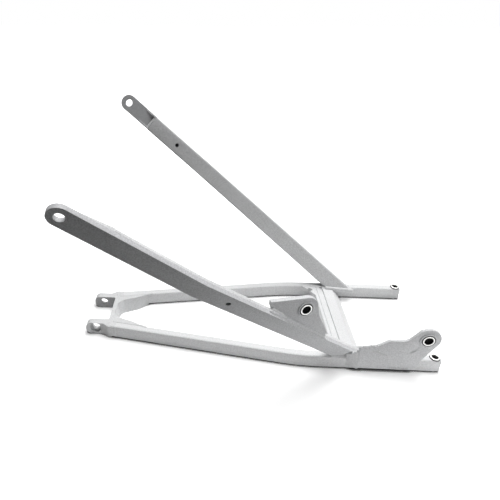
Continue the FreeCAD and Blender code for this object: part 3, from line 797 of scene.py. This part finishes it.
@dataclass
class SeatRail:
    """One bent seat rail with its end cap, boss and the weld at the yoke."""

    side: Side
    width_mm: float = 8.6
    height_mm: float = 14.2
    spread_back_mm: float = 115.0
    spread_front_mm: float = 52.5
    joint_x_mm: float = -150.0
    leg_x_mm: float = -117.5
    bend_x_mm: float = 43.5
    boss_x_mm: float = 174.0
    boss_bore_mm: float = 3.0
    thread_pitch_mm: float = 1.0
    rounding_mm: float = 1.7

    def build(self, frame: dict, shop: PaintShop) -> list[bpy.types.Object]:
        """Soften the tube, its cap and boss, and add weld and thread.

        Args:
            frame: The loaded frame.
            shop: The finishes.

        Returns:
            The new pieces.
        """
        nodes = frame["nodes"]
        word = self.side.word
        tube = EdgeSoftener(self.rounding_mm, 3, 40.0).soften(nodes[f"{word}_seat_rail"], f"{word}_rail_tube")
        cap = EdgeSoftener(0.45, 3).soften(nodes[f"{word}_rail_cap"], f"{word}_end_cap")
        boss = EdgeSoftener(0.25).soften(nodes[f"{word}_end_boss"], f"{word}_threaded_boss")
        return [
            shop.dress(tube, Slot.RAIL),
            shop.dress(cap, Slot.RAIL),
            shop.dress(boss, Slot.STEEL),
            shop.dress(self.joint_weld(), Slot.WELD),
            shop.dress(self.collar(), Slot.WELD),
            # The thread ridges get the near-black finish: painted shade deep in the boss's bore.
            shop.darken(self.thread()),
            shop.dress(self.flange("boss_flange", top_mm=15.8, radius_mm=4.4, depth_mm=1.0), Slot.STEEL),
            # A near-black ring just under the flange: a painted shadow line round the insert.
            shop.darken(self.flange("boss_groove", top_mm=15.0, radius_mm=4.85, depth_mm=0.7)),
        ]

    def flange(self, word: str, top_mm: float, radius_mm: float, depth_mm: float) -> bpy.types.Object:
        """Turn a ring of the threaded insert that stands on the rail's end.

        Args:
            word: Name of the ring.
            top_mm: Height of its upper face.
            radius_mm: Its outer radius.
            depth_mm: How deep it goes down.

        Returns:
            The ring round the thread.
        """
        ring = RoundInsert(f"{self.side.word}_{word}", radius_mm, self.boss_bore_mm + 0.1, depth_mm, 0.18)
        spot = Vector((self.boss_x_mm, self.side.value * self.spread_back_mm / 2, top_mm))
        return ring.build(spot, DOWN)

    def slant(self) -> float:
        """Angle between the front run of the rail and the x axis."""
        return math.atan2((self.spread_back_mm - self.spread_front_mm) / 2, self.bend_x_mm - self.joint_x_mm)

    def joint(self) -> tuple[Vector, Vector, Vector]:
        """Find the butt joint at the yoke.

        Returns:
            Its middle on the floor, the direction along the rail and the outward direction.
        """
        sign, angle = self.side.value, self.slant()
        middle = Vector((self.joint_x_mm, sign * self.spread_front_mm / 2, 0.0))
        along = Vector((math.cos(angle), sign * math.sin(angle), 0.0))
        return middle, along, Vector((-math.sin(angle), sign * math.cos(angle), 0.0))

    def collar(self) -> bpy.types.Object:
        """Build up the soft collar of weld at the shoulder, a little proud of tube and casting.

        Returns:
            The collar, open on the underside.
        """
        middle, along, across = self.joint()
        runs = []
        for shift in (-3.4, -1.1, 1.1, 3.2):
            outer = middle + along * shift + across * (self.width_mm / 2 - 0.9)
            inner = middle + along * shift - across * (self.width_mm / 2 - 2.0)
            low, high = Vector((0.0, 0.0, 2.2)), Vector((0.0, 0.0, self.height_mm - 1.25))
            runs += [(outer + low, outer + high), (outer + high, inner + high)]
        name = f"{self.side.word}_collar"
        return WeldBead(name, runs, radius_mm=1.75, pitch_mm=1.3, voxel_mm=0.4, smoothing=7).build()

    def joint_weld(self) -> bpy.types.Object:
        """Lay the welds of the leg, along its seam on top and down its end.

        Returns:
            The beads as one mesh.
        """
        middle, along, across = self.joint()
        sign, angle = self.side.value, self.slant()
        half = across * (self.width_mm / 2 - 0.1)
        low = Vector((0.0, 0.0, 1.6))
        high = Vector((0.0, 0.0, self.height_mm - 0.3))
        seam = Vector((0.0, 0.0, self.height_mm - 0.95))
        seam_y = self.spread_back_mm / 2 - (self.bend_x_mm - self.leg_x_mm) * math.tan(angle)
        leg_end = Vector((self.leg_x_mm, sign * seam_y, 0.0)) - half
        runs = [(middle - half + seam, leg_end + seam)]
        for ahead, sunk in ((-0.6, 0.5), (0.7, 0.75), (2.0, 1.0), (3.2, 1.2)):
            foot = leg_end + along * ahead + across * sunk
            runs.append((foot + low, foot + high))
        return WeldBead(f"{self.side.word}_joint_weld", runs, radius_mm=1.5, smoothing=7).build()

    def thread(self) -> bpy.types.Object:
        """Turn the thread of the boss as a stack of ridges in its bore.

        Returns:
            The ridges as one mesh.
        """
        bpy.ops.object.select_all(action="DESELECT")
        radius = (self.boss_bore_mm + 0.02) * MM
        bpy.ops.mesh.primitive_torus_add(
            major_segments=40, minor_segments=6, major_radius=radius, minor_radius=0.3 * MM
        )
        ridge = bpy.context.view_layer.objects.active
        repeat(ridge, int(self.height_mm / self.thread_pitch_mm) - 1, (0.0, 0.0, self.thread_pitch_mm * MM))
        ridge.location = in_metres((self.boss_x_mm, self.side.value * self.spread_back_mm / 2, 1.2))
        settle(ridge)
        ridge.name = f"{self.side.word}_boss_thread"
        alone(ridge)
        bpy.ops.object.shade_smooth()
        return ridge


@dataclass
class Strut:
    """One splayed strut: outer flange with its tab, inner channel, end plate and foot weld."""

    side: Side
    foot_x_mm: float
    side_hole_mm: float
    side_hole_radius_mm: float = 2.3
    tip_mm: tuple[float, float, float] = (-148.7, 143.3, 208.9)
    foot_y_mm: float = 54.7
    rail_height_mm: float = 14.2
    knee_mm: float = 123.0
    bow_mm: float = 5.9
    height_mm: float = 18.6
    thickness_mm: float = 7.9
    cant_degrees: float = 12.7
    flange_mm: float = 4.3
    ramp_mm: float = 3.6
    ramp_edge_mm: float = 0.7
    ramp_start_mm: float = 38.0
    rib_thin_mm: float = 0.35
    rib_start_mm: float = 22.0
    long_rib_start_mm: float = 8.0
    rib_mm: float = 1.9

    def axes(self) -> tuple[Vector, Vector, Vector, Vector, float]:
        """Work out the strut's own axes.

        Returns:
            Tip, direction to the foot, outward direction, upward direction and length.
        """
        sign = self.side.value
        tip = Vector((self.tip_mm[0], sign * self.tip_mm[1], self.tip_mm[2]))
        foot = Vector((self.foot_x_mm, sign * self.foot_y_mm, self.rail_height_mm))
        along = (foot - tip).normalized()
        out = Vector((0.0, sign, 0.0))
        out = (out - along * out.dot(along)).normalized()
        rise = along.cross(out)
        if rise.z < 0:
            rise.negate()
        cant = math.radians(self.cant_degrees)
        leaning = rise * math.cos(cant) + out * math.sin(cant)
        outward = out * math.cos(cant) - rise * math.sin(cant)
        return tip, along, outward, leaning, (foot - tip).length

    def at(self, run: float, out: float, up: float) -> Vector:
        """Find a point of the strut.

        Args:
            run: Distance from the tip's bolt along the strut.
            out: Distance from the middle of the section, outwards.
            up: Distance from the middle of the section, upwards.

        Returns:
            The point, in millimetres.
        """
        tip, along, outward, rise, span = self.axes()
        bow = self.bow_mm * (run / self.knee_mm if run < self.knee_mm else (span - run) / (span - self.knee_mm))
        return tip + along * run + outward * (bow + out) + rise * up

    def build(self, frame: dict, shop: PaintShop) -> list[bpy.types.Object]:
        """Soften the layers and weld the foot.

        Args:
            frame: The loaded frame.
            shop: The finishes.

        Returns:
            The new pieces.
        """
        nodes = frame["nodes"]
        word = self.side.word
        flange = EdgeSoftener(0.5).soften(nodes[f"{word}_strut_flange"], f"{word}_outer_flange")
        channel = EdgeSoftener(0.5).soften(nodes[f"{word}_strut_channel"], f"{word}_inner_channel")
        self.shorten(channel)
        plate = self.ramped_end()
        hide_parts(f"{word}_strut_end_plate")
        foot = self.foot_weld()
        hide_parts(f"{word}_foot_weld")
        shadow = self.hole_bottom()
        return [
            shop.dress(flange, Slot.STRUT),
            shop.dress(channel, Slot.CHANNEL),
            shop.dress(plate, Slot.STRUT),
            shop.dress(foot, Slot.WELD),
            # Near-black plug in the side hole: painted shade of the hollow strut.
            shop.darken(shadow),
            # The end bead takes the brighter cross silver: a painted highlight along the lit strip at the channel's
            # end.
            shop.dress(self.end_bead(), Slot.CROSS),
            # The upper rib takes the lighter channel silver and the lower rib the darker strut silver: painted light
            # on the upper rib and painted shade on the lower one.
            shop.dress(self.pocket_rib(1), Slot.CHANNEL),
            shop.dress(self.pocket_rib(-1), Slot.STRUT),
        ]

    def end_bead(self) -> bpy.types.Object:
        """Lay the broad, dressed bead that closes the channel's end against the tab.

        Returns:
            The bead.
        """
        half = self.height_mm / 2 - 1.3
        seam = self.thickness_mm / 2 - self.flange_mm
        runs = []
        for run, sunk in ((self.ramp_start_mm - 2.4, 1.0), (self.ramp_start_mm - 1.2, 2.1)):
            runs.append((self.at(run, seam - sunk, -half), self.at(run, seam - sunk, half)))
        return WeldBead(f"{self.side.word}_end_bead", runs, radius_mm=1.45, pitch_mm=1.2, smoothing=5).build()

    def upper_run(self) -> tuple[Vector, Vector, Vector]:
        """Directions of the strut above its knee.

        Returns:
            Along the bent run, across it outwards, and upwards.
        """
        _, along, outward, rise, _ = self.axes()
        slope = (outward * self.bow_mm + along * self.knee_mm).normalized()
        across = rise.cross(slope).normalized()
        if across.dot(outward) < 0:
            across.negate()
        return slope, across, rise

    def shorten(self, channel: bpy.types.Object) -> None:
        """Cut the channel back square to where its ramped end stands.

        Args:
            channel: The softened channel.
        """
        slope = self.upper_run()[0]
        spot = self.at(self.ramp_start_mm - 0.6, 0.0, 0.0)
        edit_all(channel)
        bpy.ops.mesh.bisect(plane_co=spot * MM, plane_no=slope, use_fill=True, clear_inner=True, clear_outer=False)
        leave_edit()

    def lay_inside(self, piece: bpy.types.Object, run: float, depth: float, up: float) -> bpy.types.Object:
        """Put a piece on the flange's inner face.

        Args:
            piece: The piece, with its middle at the origin.
            run: Where its middle lies along the strut.
            depth: How deep it is.
            up: Where its middle lies upwards.

        Returns:
            The same piece.
        """
        seam = self.thickness_mm / 2 - self.flange_mm
        slope, across, rise = self.upper_run()
        middle = self.at(run, seam - depth / 2 + 0.05, up)
        piece.matrix_world = Matrix.Translation(middle * MM) @ Matrix((slope, across, rise)).transposed().to_4x4()
        settle(piece)
        edit_all(piece)
        bpy.ops.mesh.normals_make_consistent(inside=False)
        leave_edit()
        bpy.ops.object.shade_smooth_by_angle(angle=math.radians(SMOOTH_DEGREES))
        return piece

    def pocket_rib(self, edge: int) -> bpy.types.Object:
        """Model one of the two ribs that grow along the tab's edges into the channel.

        Args:
            edge: 1 for the upper edge, -1 for the lower one.

        Returns:
            The rib.
        """
        depth = self.thickness_mm - self.flange_mm
        long = edge > 0 and self.side is Side.RIGHT
        start = self.long_rib_start_mm if long else self.rib_start_mm
        length = self.ramp_start_mm - start
        name = f"{self.side.word}_rib_{'upper' if edge > 0 else 'lower'}"
        shift = (0.0, depth - self.rib_thin_mm, 0.0)
        rib = slanted_block(name, (length, depth, self.rib_mm), shift, self.rib_thin_mm / 3)
        return self.lay_inside(rib, start + length / 2, depth, edge * (self.height_mm - self.rib_mm - 0.7) / 2)

    def hole_bottom(self) -> bpy.types.Object:
        """Close the small side hole a little below its rim with a dark plug, painted shade of the hollow strut behind
        it.

        Returns:
            A round plug.
        """
        outward = self.axes()[2]
        skin = self.side.value * -self.thickness_mm / 2
        inward = outward * self.side.value
        face = self.at(self.side_hole_mm, skin, 0.0) + inward * 0.5
        plug = RoundInsert(f"{self.side.word}_hole_bottom", self.side_hole_radius_mm - 0.05, 0.0, 0.9)
        return plug.build(face, inward)

    def foot_weld(self) -> bpy.types.Object:
        """Lay the weld where the strut's section meets the rail's top.

        Returns:
            The bead round the section, with a broad fillet on its inner side.
        """
        span = self.axes()[4]
        lower = (self.at(span, 0, 0) - self.at(self.knee_mm, 0, 0)).normalized()
        corners = []
        for out, up in ((1, -1), (1, 1), (-1, 1), (-1, -1)):
            spot = self.at(span, out * self.thickness_mm / 2, up * self.height_mm / 2)
            corners.append(spot + lower * ((self.rail_height_mm - 0.2 - spot.z) / lower.z))
        runs = [(corners[i], corners[(i + 1) % 4]) for i in range(4)]
        bead = WeldBead(f"{self.side.word}_foot_bead", runs, radius_mm=1.3).build()
        inward = Vector((0.0, -self.side.value * 1.3, 0.4))
        ends = (corners[2] + inward, corners[3] + inward)
        fillet = WeldBead(f"{self.side.word}_foot_fillet", [ends], radius_mm=2.4, pitch_mm=1.5, smoothing=4).build()
        return join((bead, fillet), f"{self.side.word}_foot_bead")

    def ramped_end(self) -> bpy.types.Object:
        """Shape the plate that closes the channel, ramped down onto the tab.

        Returns:
            The ramp, as deep as the channel and a little narrower.
        """
        depth = self.thickness_mm - self.flange_mm
        size = (self.ramp_mm, depth, self.height_mm - 0.9)
        shift = (self.ramp_mm - self.ramp_edge_mm, 0.0, 0.0)
        ramp = slanted_block(f"{self.side.word}_channel_end", size, shift, 0.3)
        return self.lay_inside(ramp, self.ramp_start_mm - self.ramp_mm / 2, depth, 0.0)


@dataclass
class Crossmember:
    """Ribbed crossmember with its corner gussets and welds."""

    front_x_mm: float = 77.0
    flat_x_mm: float = 98.5
    foot_x_mm: float = 109.0
    height_mm: float = 14.2
    rail_face_mm: float = 53.2
    gusset_reach_mm: float = 13.0

    def build(self, frame: dict, shop: PaintShop) -> list[bpy.types.Object]:
        """Soften the extrusion and its gussets and weld them to the rails.

        Args:
            frame: The loaded frame.
            shop: The finishes.

        Returns:
            The new pieces.
        """
        nodes = frame["nodes"]
        pieces = [shop.dress(EdgeSoftener(0.3).soften(nodes["crossmember"], "cross_extrusion"), Slot.CROSS)]
        for side in Side:
            gusset = EdgeSoftener(0.4).soften(nodes[f"{side.word}_corner_gusset"], f"{side.word}_corner_plate")
            pieces.append(shop.dress(gusset, Slot.RAIL))
            pieces.append(shop.dress(self.rail_weld(side), Slot.WELD))
        return pieces

    def rail_weld(self, side: Side) -> bpy.types.Object:
        """Lay the weld along one end of the crossmember.

        Args:
            side: The rail it is on.

        Returns:
            The bead.
        """
        y = side.value * (self.rail_face_mm - 0.1)
        top = self.height_mm - 0.4
        front_low = (self.front_x_mm, y, 2.0)
        front_top = (self.front_x_mm, y, top)
        flat_end = (self.flat_x_mm, y, top)
        heel = (self.foot_x_mm - 2.0, y, self.height_mm / 3)
        runs = [(front_low, front_top), (front_top, flat_end), (flat_end, heel)]
        gusset_start = (self.front_x_mm - self.gusset_reach_mm, y, top)
        runs.append((gusset_start, front_top))
        return WeldBead(f"{side.word}_cross_bead", runs, radius_mm=1.1, pitch_mm=1.0).build()


@dataclass
class SilencerMounts:
    """Two ears for the silencer, each with a rubber grommet and a steel sleeve."""

    ear_along_mm: float = 229.1
    ear_inset_mm: float = 3.8
    ear_above_mm: float = 23.1
    ear_turn_degrees: float = 18.0
    ear_thickness_mm: float = 4.5
    ear_front_mm: float = 34.0
    ear_back_mm: float = 24.7
    rail_side_mm: float = 61.8
    plate_thickness_mm: float = 3.2
    plate_front_x_mm: float = 98.0
    plate_heel_x_mm: float = 151.0
    plate_foot_z_mm: float = 4.6
    plate_bolt_x_mm: float = 158.4
    plate_bolt_z_mm: float = 42.6
    dent_x_mm: float = 147.4
    dent_z_mm: float = 29.0
    dent_out_mm: float = 0.8
    dent_radius_mm: float = 4.6
    dent_scale: tuple[float, float, float] = (1.1, 0.42, 0.5)
    dent_slant_degrees: float = -42.0
    sleeve_length_mm: float = 9.0
    rail_height_mm: float = 14.2

    def build(self, frame: dict, shop: PaintShop, strut: Strut) -> list[bpy.types.Object]:
        """Soften the ears, paint their inserts and weld them on.

        Args:
            frame: The loaded frame.
            shop: The finishes.
            strut: The strut that carries the front ear.

        Returns:
            The new pieces.
        """
        nodes = frame["nodes"]
        pieces = []
        for word in ("front", "rear"):
            ear = EdgeSoftener(0.55, 3).soften(nodes[f"silencer_{word}_bracket"], f"silencer_{word}_ear")
            if word == "rear":
                self.dent(ear)
            pieces.append(shop.dress(ear, Slot.BRACKET))
            rubber = EdgeSoftener(0.25).soften(nodes[f"silencer_{word}_grommet"], f"silencer_{word}_rubber")
            pieces.append(shop.dress(rubber, Slot.RUBBER))
            bush = EdgeSoftener(0.2).soften(nodes[f"silencer_{word}_sleeve"], f"silencer_{word}_bush")
            pieces.append(shop.dress(bush, Slot.STEEL))
        for word, (face, inward) in self.eyes(strut).items():
            rim = RoundInsert(f"silencer_{word}_eye", outer_mm=7.75, inner_mm=6.35, depth_mm=1.2, rim_mm=0.3)
            pieces.append(shop.dress(rim.build(face - inward * 1.0, inward), Slot.BRACKET))
            # Each sleeve gets a near-black liner: painted shade deep in its bore.
            depth = self.sleeve_length_mm
            bore = RoundInsert(f"silencer_{word}_bore", outer_mm=4.22, inner_mm=4.0, depth_mm=depth, rim_mm=0.05)
            pieces.append(shop.darken(bore.build(face - inward * 0.7, inward)))
        pieces.append(shop.dress(self.front_weld(strut), Slot.WELD))
        pieces.append(shop.dress(self.ear_fillet(strut), Slot.BRACKET))
        for weld in (self.rear_weld(), self.foot_blend(), self.plate_ripples()):
            pieces.append(shop.dress(weld, Slot.WELD))
        return pieces

    def dent(self, ear: bpy.types.Object) -> None:
        """Press a slanted dent into the outer face of the rear ear.

        Args:
            ear: The softened rear ear.
        """
        face = -self.rail_side_mm - self.plate_thickness_mm
        bpy.ops.object.select_all(action="DESELECT")
        bpy.ops.mesh.primitive_uv_sphere_add(segments=48, ring_count=24, radius=self.dent_radius_mm * MM)
        press = bpy.context.view_layer.objects.active
        press.scale = self.dent_scale
        press.rotation_euler = (0.0, math.radians(self.dent_slant_degrees), 0.0)
        press.location = in_metres((self.dent_x_mm, face - self.dent_out_mm, self.dent_z_mm))
        settle(press)
        cut = ear.modifiers.new("dent", "BOOLEAN")
        cut.operation = "DIFFERENCE"
        cut.object = press
        apply_all(ear)
        alone(press)
        bpy.ops.object.delete()
        alone(ear)
        bpy.ops.object.shade_smooth_by_angle(angle=math.radians(30.0))

    def eyes(self, strut: Strut) -> dict[str, tuple[Vector, Vector]]:
        """Find the middle of each ear's outer face at its hole.

        Args:
            strut: The strut that carries the front ear.

        Returns:
            Point and inward direction, by the word of the ear.
        """
        tip, along, outward, rise, _ = strut.axes()
        turn = math.radians(self.ear_turn_degrees)
        front = tip + along * self.ear_along_mm - outward * self.ear_inset_mm + rise * self.ear_above_mm
        rear = Vector((self.plate_bolt_x_mm, -self.rail_side_mm - self.plate_thickness_mm, self.plate_bolt_z_mm))
        inward = Vector((-math.sin(turn), math.cos(turn), 0.0))
        return {"front": (front, inward), "rear": (rear, Vector((0.0, 1.0, 0.0)))}

    def front_weld(self, strut: Strut) -> bpy.types.Object:
        """Lay a weld along both faces of the front ear where it stands on the strut.

        Args:
            strut: The strut that carries the ear.

        Returns:
            The bead.
        """
        tip, _, _, rise, _ = strut.axes()
        centre, inward = self.eyes(strut)["front"]
        turn = math.radians(self.ear_turn_degrees)
        forward = Vector((math.cos(turn), math.sin(turn), 0.0))
        on_top = tip + rise * (strut.height_mm / 2)
        runs = []
        for depth in (0.0, self.ear_thickness_mm):
            ends = []
            for x in (-self.ear_front_mm + 1.0, self.ear_back_mm):
                spot = centre + forward * x + inward * depth
                fall = (spot - on_top).dot(rise) / rise.z
                ends.append(spot - Vector((0.0, 0.0, fall)))
            runs.append((ends[0], ends[1]))
        lift = Vector((0.0, 0.0, -0.5))
        toe = runs[0][0] + (runs[0][1] - runs[0][0]).normalized() * 13.0
        bead = WeldBead("front_ear_bead", runs, radius_mm=1.1, pitch_mm=1.0).build()
        ends = (runs[0][0] + lift, toe + lift)
        blend = WeldBead("front_ear_toe", [ends], radius_mm=2.6, pitch_mm=1.6, smoothing=6).build()
        return join((bead, blend), "front_ear_bead")

    def ear_fillet(self, strut: Strut) -> bpy.types.Object:
        """Build up the broad fillet between the front ear's outer face and the strut's outer face.

        Args:
            strut: The strut that carries the ear.

        Returns:
            The fillet, dressed almost smooth.
        """
        face = strut.thickness_mm / 2
        runs = []
        for sunk, low, first, last in ((2.2, 1.9, 4.0, 3.0), (3.6, 0.5, 1.0, 1.0)):
            out, up = face - sunk, strut.height_mm / 2 - low
            start = strut.at(self.ear_along_mm - self.ear_front_mm + first, out, up)
            end = strut.at(self.ear_along_mm + self.ear_back_mm - last, out, up)
            runs.append((start, end))
        return WeldBead("ear_fillet", runs, radius_mm=2.1, pitch_mm=1.6, voxel_mm=0.45, smoothing=9).build()

    def rear_weld(self) -> bpy.types.Object:
        """Lay the welds along the rear plate's lower edge and along the rail's top behind it.

        Returns:
            The beads as one mesh.
        """
        proud = -self.rail_side_mm - 0.3
        inner = -self.rail_side_mm + 0.4
        top = self.rail_height_mm - 0.5
        front, heel, foot = self.plate_front_x_mm, self.plate_heel_x_mm, self.plate_foot_z_mm
        low = ((front + 1.5, proud, foot), (heel, proud, foot))
        high = ((front + 12.0, inner, top), (heel + 5.0, inner, top))
        return WeldBead("rear_plate_bead", [low, high], radius_mm=1.4).build()

    def foot_blend(self) -> bpy.types.Object:
        """Build up the soft mass of weld that hides the plate's front end in the strut's foot.

        Returns:
            The mass, dressed down almost smooth.
        """
        face = -self.rail_side_mm - self.plate_thickness_mm
        front = self.plate_front_x_mm
        runs = []
        stripes = ((0.6, 2.2, 25.0), (-1.6, 2.6, 22.5), (-3.8, 3.2, 20.5), (-6.2, 4.0, 19.0), (-8.8, 4.9, 18.5))
        for step, (shift, inset, top) in enumerate(stripes):
            start = 3.4 + 0.5 * step
            runs.append(((front + shift, face + inset, start), (front + shift, face + inset, top)))
        return WeldBead("foot_blend", runs, radius_mm=2.3, pitch_mm=1.8, voxel_mm=0.5, smoothing=14).build()

    def plate_ripples(self) -> bpy.types.Object:
        """Lay the small irregular beads on the plate's front top edge and across its face.

        Returns:
            The beads as one mesh.
        """
        face = -self.rail_side_mm - self.plate_thickness_mm
        crest = [(98.5, 29.6), (101.5, 30.9), (104.5, 31.0), (108.0, 32.3), (111.0, 32.2), (113.5, 33.2)]
        crease = [(110.5, 26.4), (114.0, 25.9), (118.0, 24.6), (122.0, 22.4), (126.0, 21.4)]
        bulge = [(130.0, 6.6), (138.0, 6.2), (147.0, 6.4)]
        runs = []
        for line, depth in ((crest, 1.2), (crease, 0.35), (bulge, 0.3)):
            spots = [(x, face + depth, z) for x, z in line]
            runs += list(zip(spots, spots[1:]))
        return WeldBead("plate_ripples", runs, radius_mm=1.15, pitch_mm=1.9, voxel_mm=0.26, smoothing=2).build()


@dataclass
class Studio:
    """Floor, lamps, world and camera.

    The lens values are the ones that were fitted to the photograph. The floor is almost white for the
    camera, apart from a dark line of painted shadow where the part touches it. For rays that only light
    the part it is a painted pool of light, a bright patch under the rear half and dark around it, so that
    the strut's lower faces darken towards the tips.
    """

    focal_pixels: float = 469.65
    centre_pixels: tuple[float, float] = (183.21, 212.3)
    picture_pixels: int = 500
    sensor_mm: float = 36.0
    camera_mm: tuple[float, float, float] = (-52.1, -412.1, 352.4)
    pitch_degrees: float = 27.51
    yaw_degrees: float = -3.24
    near_m: float = 0.01
    floor_m: float = 6.0
    contact_mm: float = 5.0
    contact_range: tuple[float, float] = (0.45, 0.8)
    seen_albedo: tuple[float, float] = (0.03, 0.95)
    patch_squeeze: tuple[float, float, float] = (0.47, 1.0, 1.0)
    patch_centre_m: tuple[float, float, float] = (0.02, -0.065, 0.0)
    patch_range_m: tuple[float, float] = (0.10, 0.155)
    patch_albedo: tuple[float, float] = (1.0, 0.02)
    glow_range_m: tuple[float, float] = (0.15, 0.6)
    glow_strength: tuple[float, float] = (0.3, 1.0)
    world_strength: float = 0.04

    def build(self) -> None:
        """Set up everything around the object.

        A large lamp above and behind gives the main light, a second one on the right lifts the end
        faces, and a small low one lifts the feet of the struts.
        """
        self.floor()
        self.world()
        self.lamp("top_softbox", (0.15, 0.42, 1.35), (0.02, 0.0, 0.05), 1.15, 26.0)
        self.lamp("side_softbox", (1.2, -0.1, 0.7), (0.05, 0.0, 0.05), 0.9, 2.5)
        self.lamp("low_softbox", (0.30, -0.30, 0.09), (0.10, -0.03, 0.03), 0.2, 0.3)
        self.camera()

    def floor(self) -> None:
        """Lay the pale floor.

        Its albedo and glow are set apart for rays that show it and for rays that only bounce off it.
        """
        bpy.ops.object.select_all(action="DESELECT")
        bpy.ops.mesh.primitive_grid_add(x_subdivisions=4, y_subdivisions=4, size=self.floor_m)
        floor = bpy.context.view_layer.objects.active
        floor.name = "pale_floor"
        material, tree, shader = blank_finish("pale_floor", {"Roughness": 0.9, "Specular IOR Level": 0.1})
        squeezed = node(tree, "VectorMath", {1: self.patch_squeeze}, operation="MULTIPLY")
        link(tree, node(tree, "TexCoord"), "Object", squeezed, 0)
        distance = node(tree, "VectorMath", {1: self.patch_centre_m}, operation="DISTANCE")
        link(tree, squeezed, "Vector", distance, 0)
        # For rays that only light the part: a painted pool of light, bright under the rear half and dark around it.
        patch = remap(tree, distance, "Value", self.patch_range_m, self.patch_albedo, "SMOOTHSTEP")
        # Ambient occlusion darkens the floor's colour and glow where the part touches it: a painted shadow line.
        nearness = node(tree, "AmbientOcclusion", {"Distance": self.contact_mm * MM}, samples=8)
        painted_contact_shadow = remap(tree, nearness, "AO", self.contact_range, self.seen_albedo)
        shown = self.shown(tree)
        albedo = node(tree, "Mix", data_type="FLOAT")
        link(tree, shown, "Value", albedo, "Factor")
        link(tree, patch, "Result", albedo, "A")
        link(tree, painted_contact_shadow, "Result", albedo, "B")
        colour = node(tree, "CombineColor")
        for channel in ("Red", "Green", "Blue"):
            link(tree, albedo, "Result", colour, channel)
        link(tree, colour, "Color", shader, "Base Color")
        bleach = remap(tree, distance, "Value", self.glow_range_m, self.glow_strength, "SMOOTHSTEP")
        strength = maths(tree, "MULTIPLY", (shown, "Value"), (bleach, "Result"))
        dimmed = maths(tree, "MULTIPLY", (strength, "Value"), (painted_contact_shadow, "Result"))
        glow = node(tree, "Emission")
        link(tree, dimmed, "Value", glow, "Strength")
        both = node(tree, "AddShader")
        link(tree, shader, "BSDF", both, 0)
        link(tree, glow, "Emission", both, 1)
        link(tree, both, "Shader", tree.nodes["Material Output"], "Surface")
        floor.data.materials.append(material)

    def world(self) -> None:
        """Light the scene softly from all round.

        Rays that show the background see plain white.
        """
        world = bpy.data.worlds.new("studio")
        bpy.context.scene.world = world
        world.use_nodes = True
        tree = world.node_tree
        back = tree.nodes["Background"]
        back.inputs["Color"].default_value = (1.0, 1.0, 1.0, 1.0)
        mix = node(tree, "Mix", {"A": self.world_strength, "B": 1.0}, data_type="FLOAT")
        link(tree, self.shown(tree), "Value", mix, "Factor")
        link(tree, mix, "Result", back, "Strength")

    def shown(self, tree: bpy.types.NodeTree) -> bpy.types.Node:
        """Add the switch between rays that show the background and rays that only light the object.

        Args:
            tree: Node tree of the floor or the world.

        Returns:
            A node whose Value is 1 for camera, glossy and transmission rays.
        """
        rays = node(tree, "LightPath")
        pair = maths(tree, "MAXIMUM", (rays, "Is Camera Ray"), (rays, "Is Glossy Ray"))
        return maths(tree, "MAXIMUM", (pair, "Value"), (rays, "Is Transmission Ray"))

    def lamp(self, name: str, place: Sequence[float], target: Sequence[float], size: float, power: float) -> None:
        """Hang a square soft lamp.

        Args:
            name: Name of the lamp.
            place: Where it hangs, in metres.
            target: What it points at, in metres.
            size: Length of its side, in metres.
            power: Its power in watts.
        """
        data = bpy.data.lights.new(name, "AREA")
        data.shape = "SQUARE"
        data.size = size
        data.energy = power
        lamp = bpy.data.objects.new(name, data)
        bpy.context.scene.collection.objects.link(lamp)
        lamp.location = place
        lamp.rotation_euler = (Vector(target) - Vector(place)).to_track_quat("-Z", "Y").to_euler()

    def camera(self) -> None:
        """Set the camera at the photograph's viewing angle.

        The lens is shifted, since the photograph is a crop whose middle isn't the lens's middle.
        """
        data = bpy.data.cameras.new("view")
        data.sensor_width = self.sensor_mm
        data.lens = self.focal_pixels / self.picture_pixels * data.sensor_width
        half = self.picture_pixels / 2
        data.shift_x = (half - self.centre_pixels[0]) / self.picture_pixels
        data.shift_y = (self.centre_pixels[1] - half) / self.picture_pixels
        data.clip_start = self.near_m
        camera = bpy.data.objects.new("view", data)
        bpy.context.scene.collection.objects.link(camera)
        pitch, yaw = math.radians(self.pitch_degrees), math.radians(self.yaw_degrees)
        forward = Vector((math.sin(yaw) * math.cos(pitch), math.cos(yaw) * math.cos(pitch), -math.sin(pitch)))
        right = Vector((math.cos(yaw), -math.sin(yaw), 0.0))
        up = right.cross(forward)
        turn = Matrix((right, up, -forward)).transposed().to_4x4()
        camera.matrix_world = Matrix.Translation(in_metres(self.camera_mm)) @ turn
        bpy.context.scene.camera = camera


def report(label: str, pieces: Iterable[bpy.types.Object]) -> None:
    """Log the pieces of a sub-assembly.

    Args:
        label: Name of the sub-assembly.
        pieces: Its new pieces.
    """
    for piece in pieces:
        LOG.info("%s: %s, %d faces", label, piece.name, len(piece.data.polygons))


def main() -> None:
    """Load the frame, build and dress every sub-assembly, and set the studio."""
    logging.basicConfig(level=logging.INFO, format="%(name)s %(message)s")
    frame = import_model()
    bpy.context.scene.view_settings.view_transform = "Standard"
    shop = PaintShop()
    report("yoke", FrontYoke().build(frame, shop))
    for side in Side:
        report(f"{side.word} rail", SeatRail(side).build(frame, shop))
    right_strut = Strut(Side.RIGHT, foot_x_mm=89.3, side_hole_mm=155.0)
    left_strut = Strut(Side.LEFT, foot_x_mm=104.7, side_hole_mm=77.0)
    for strut in (right_strut, left_strut):
        report(f"{strut.side.word} strut", strut.build(frame, shop))
    report("crossmember", Crossmember().build(frame, shop))
    report("silencer mounts", SilencerMounts().build(frame, shop, right_strut))
    Studio().build()


if __name__ == "__main__":
    main()
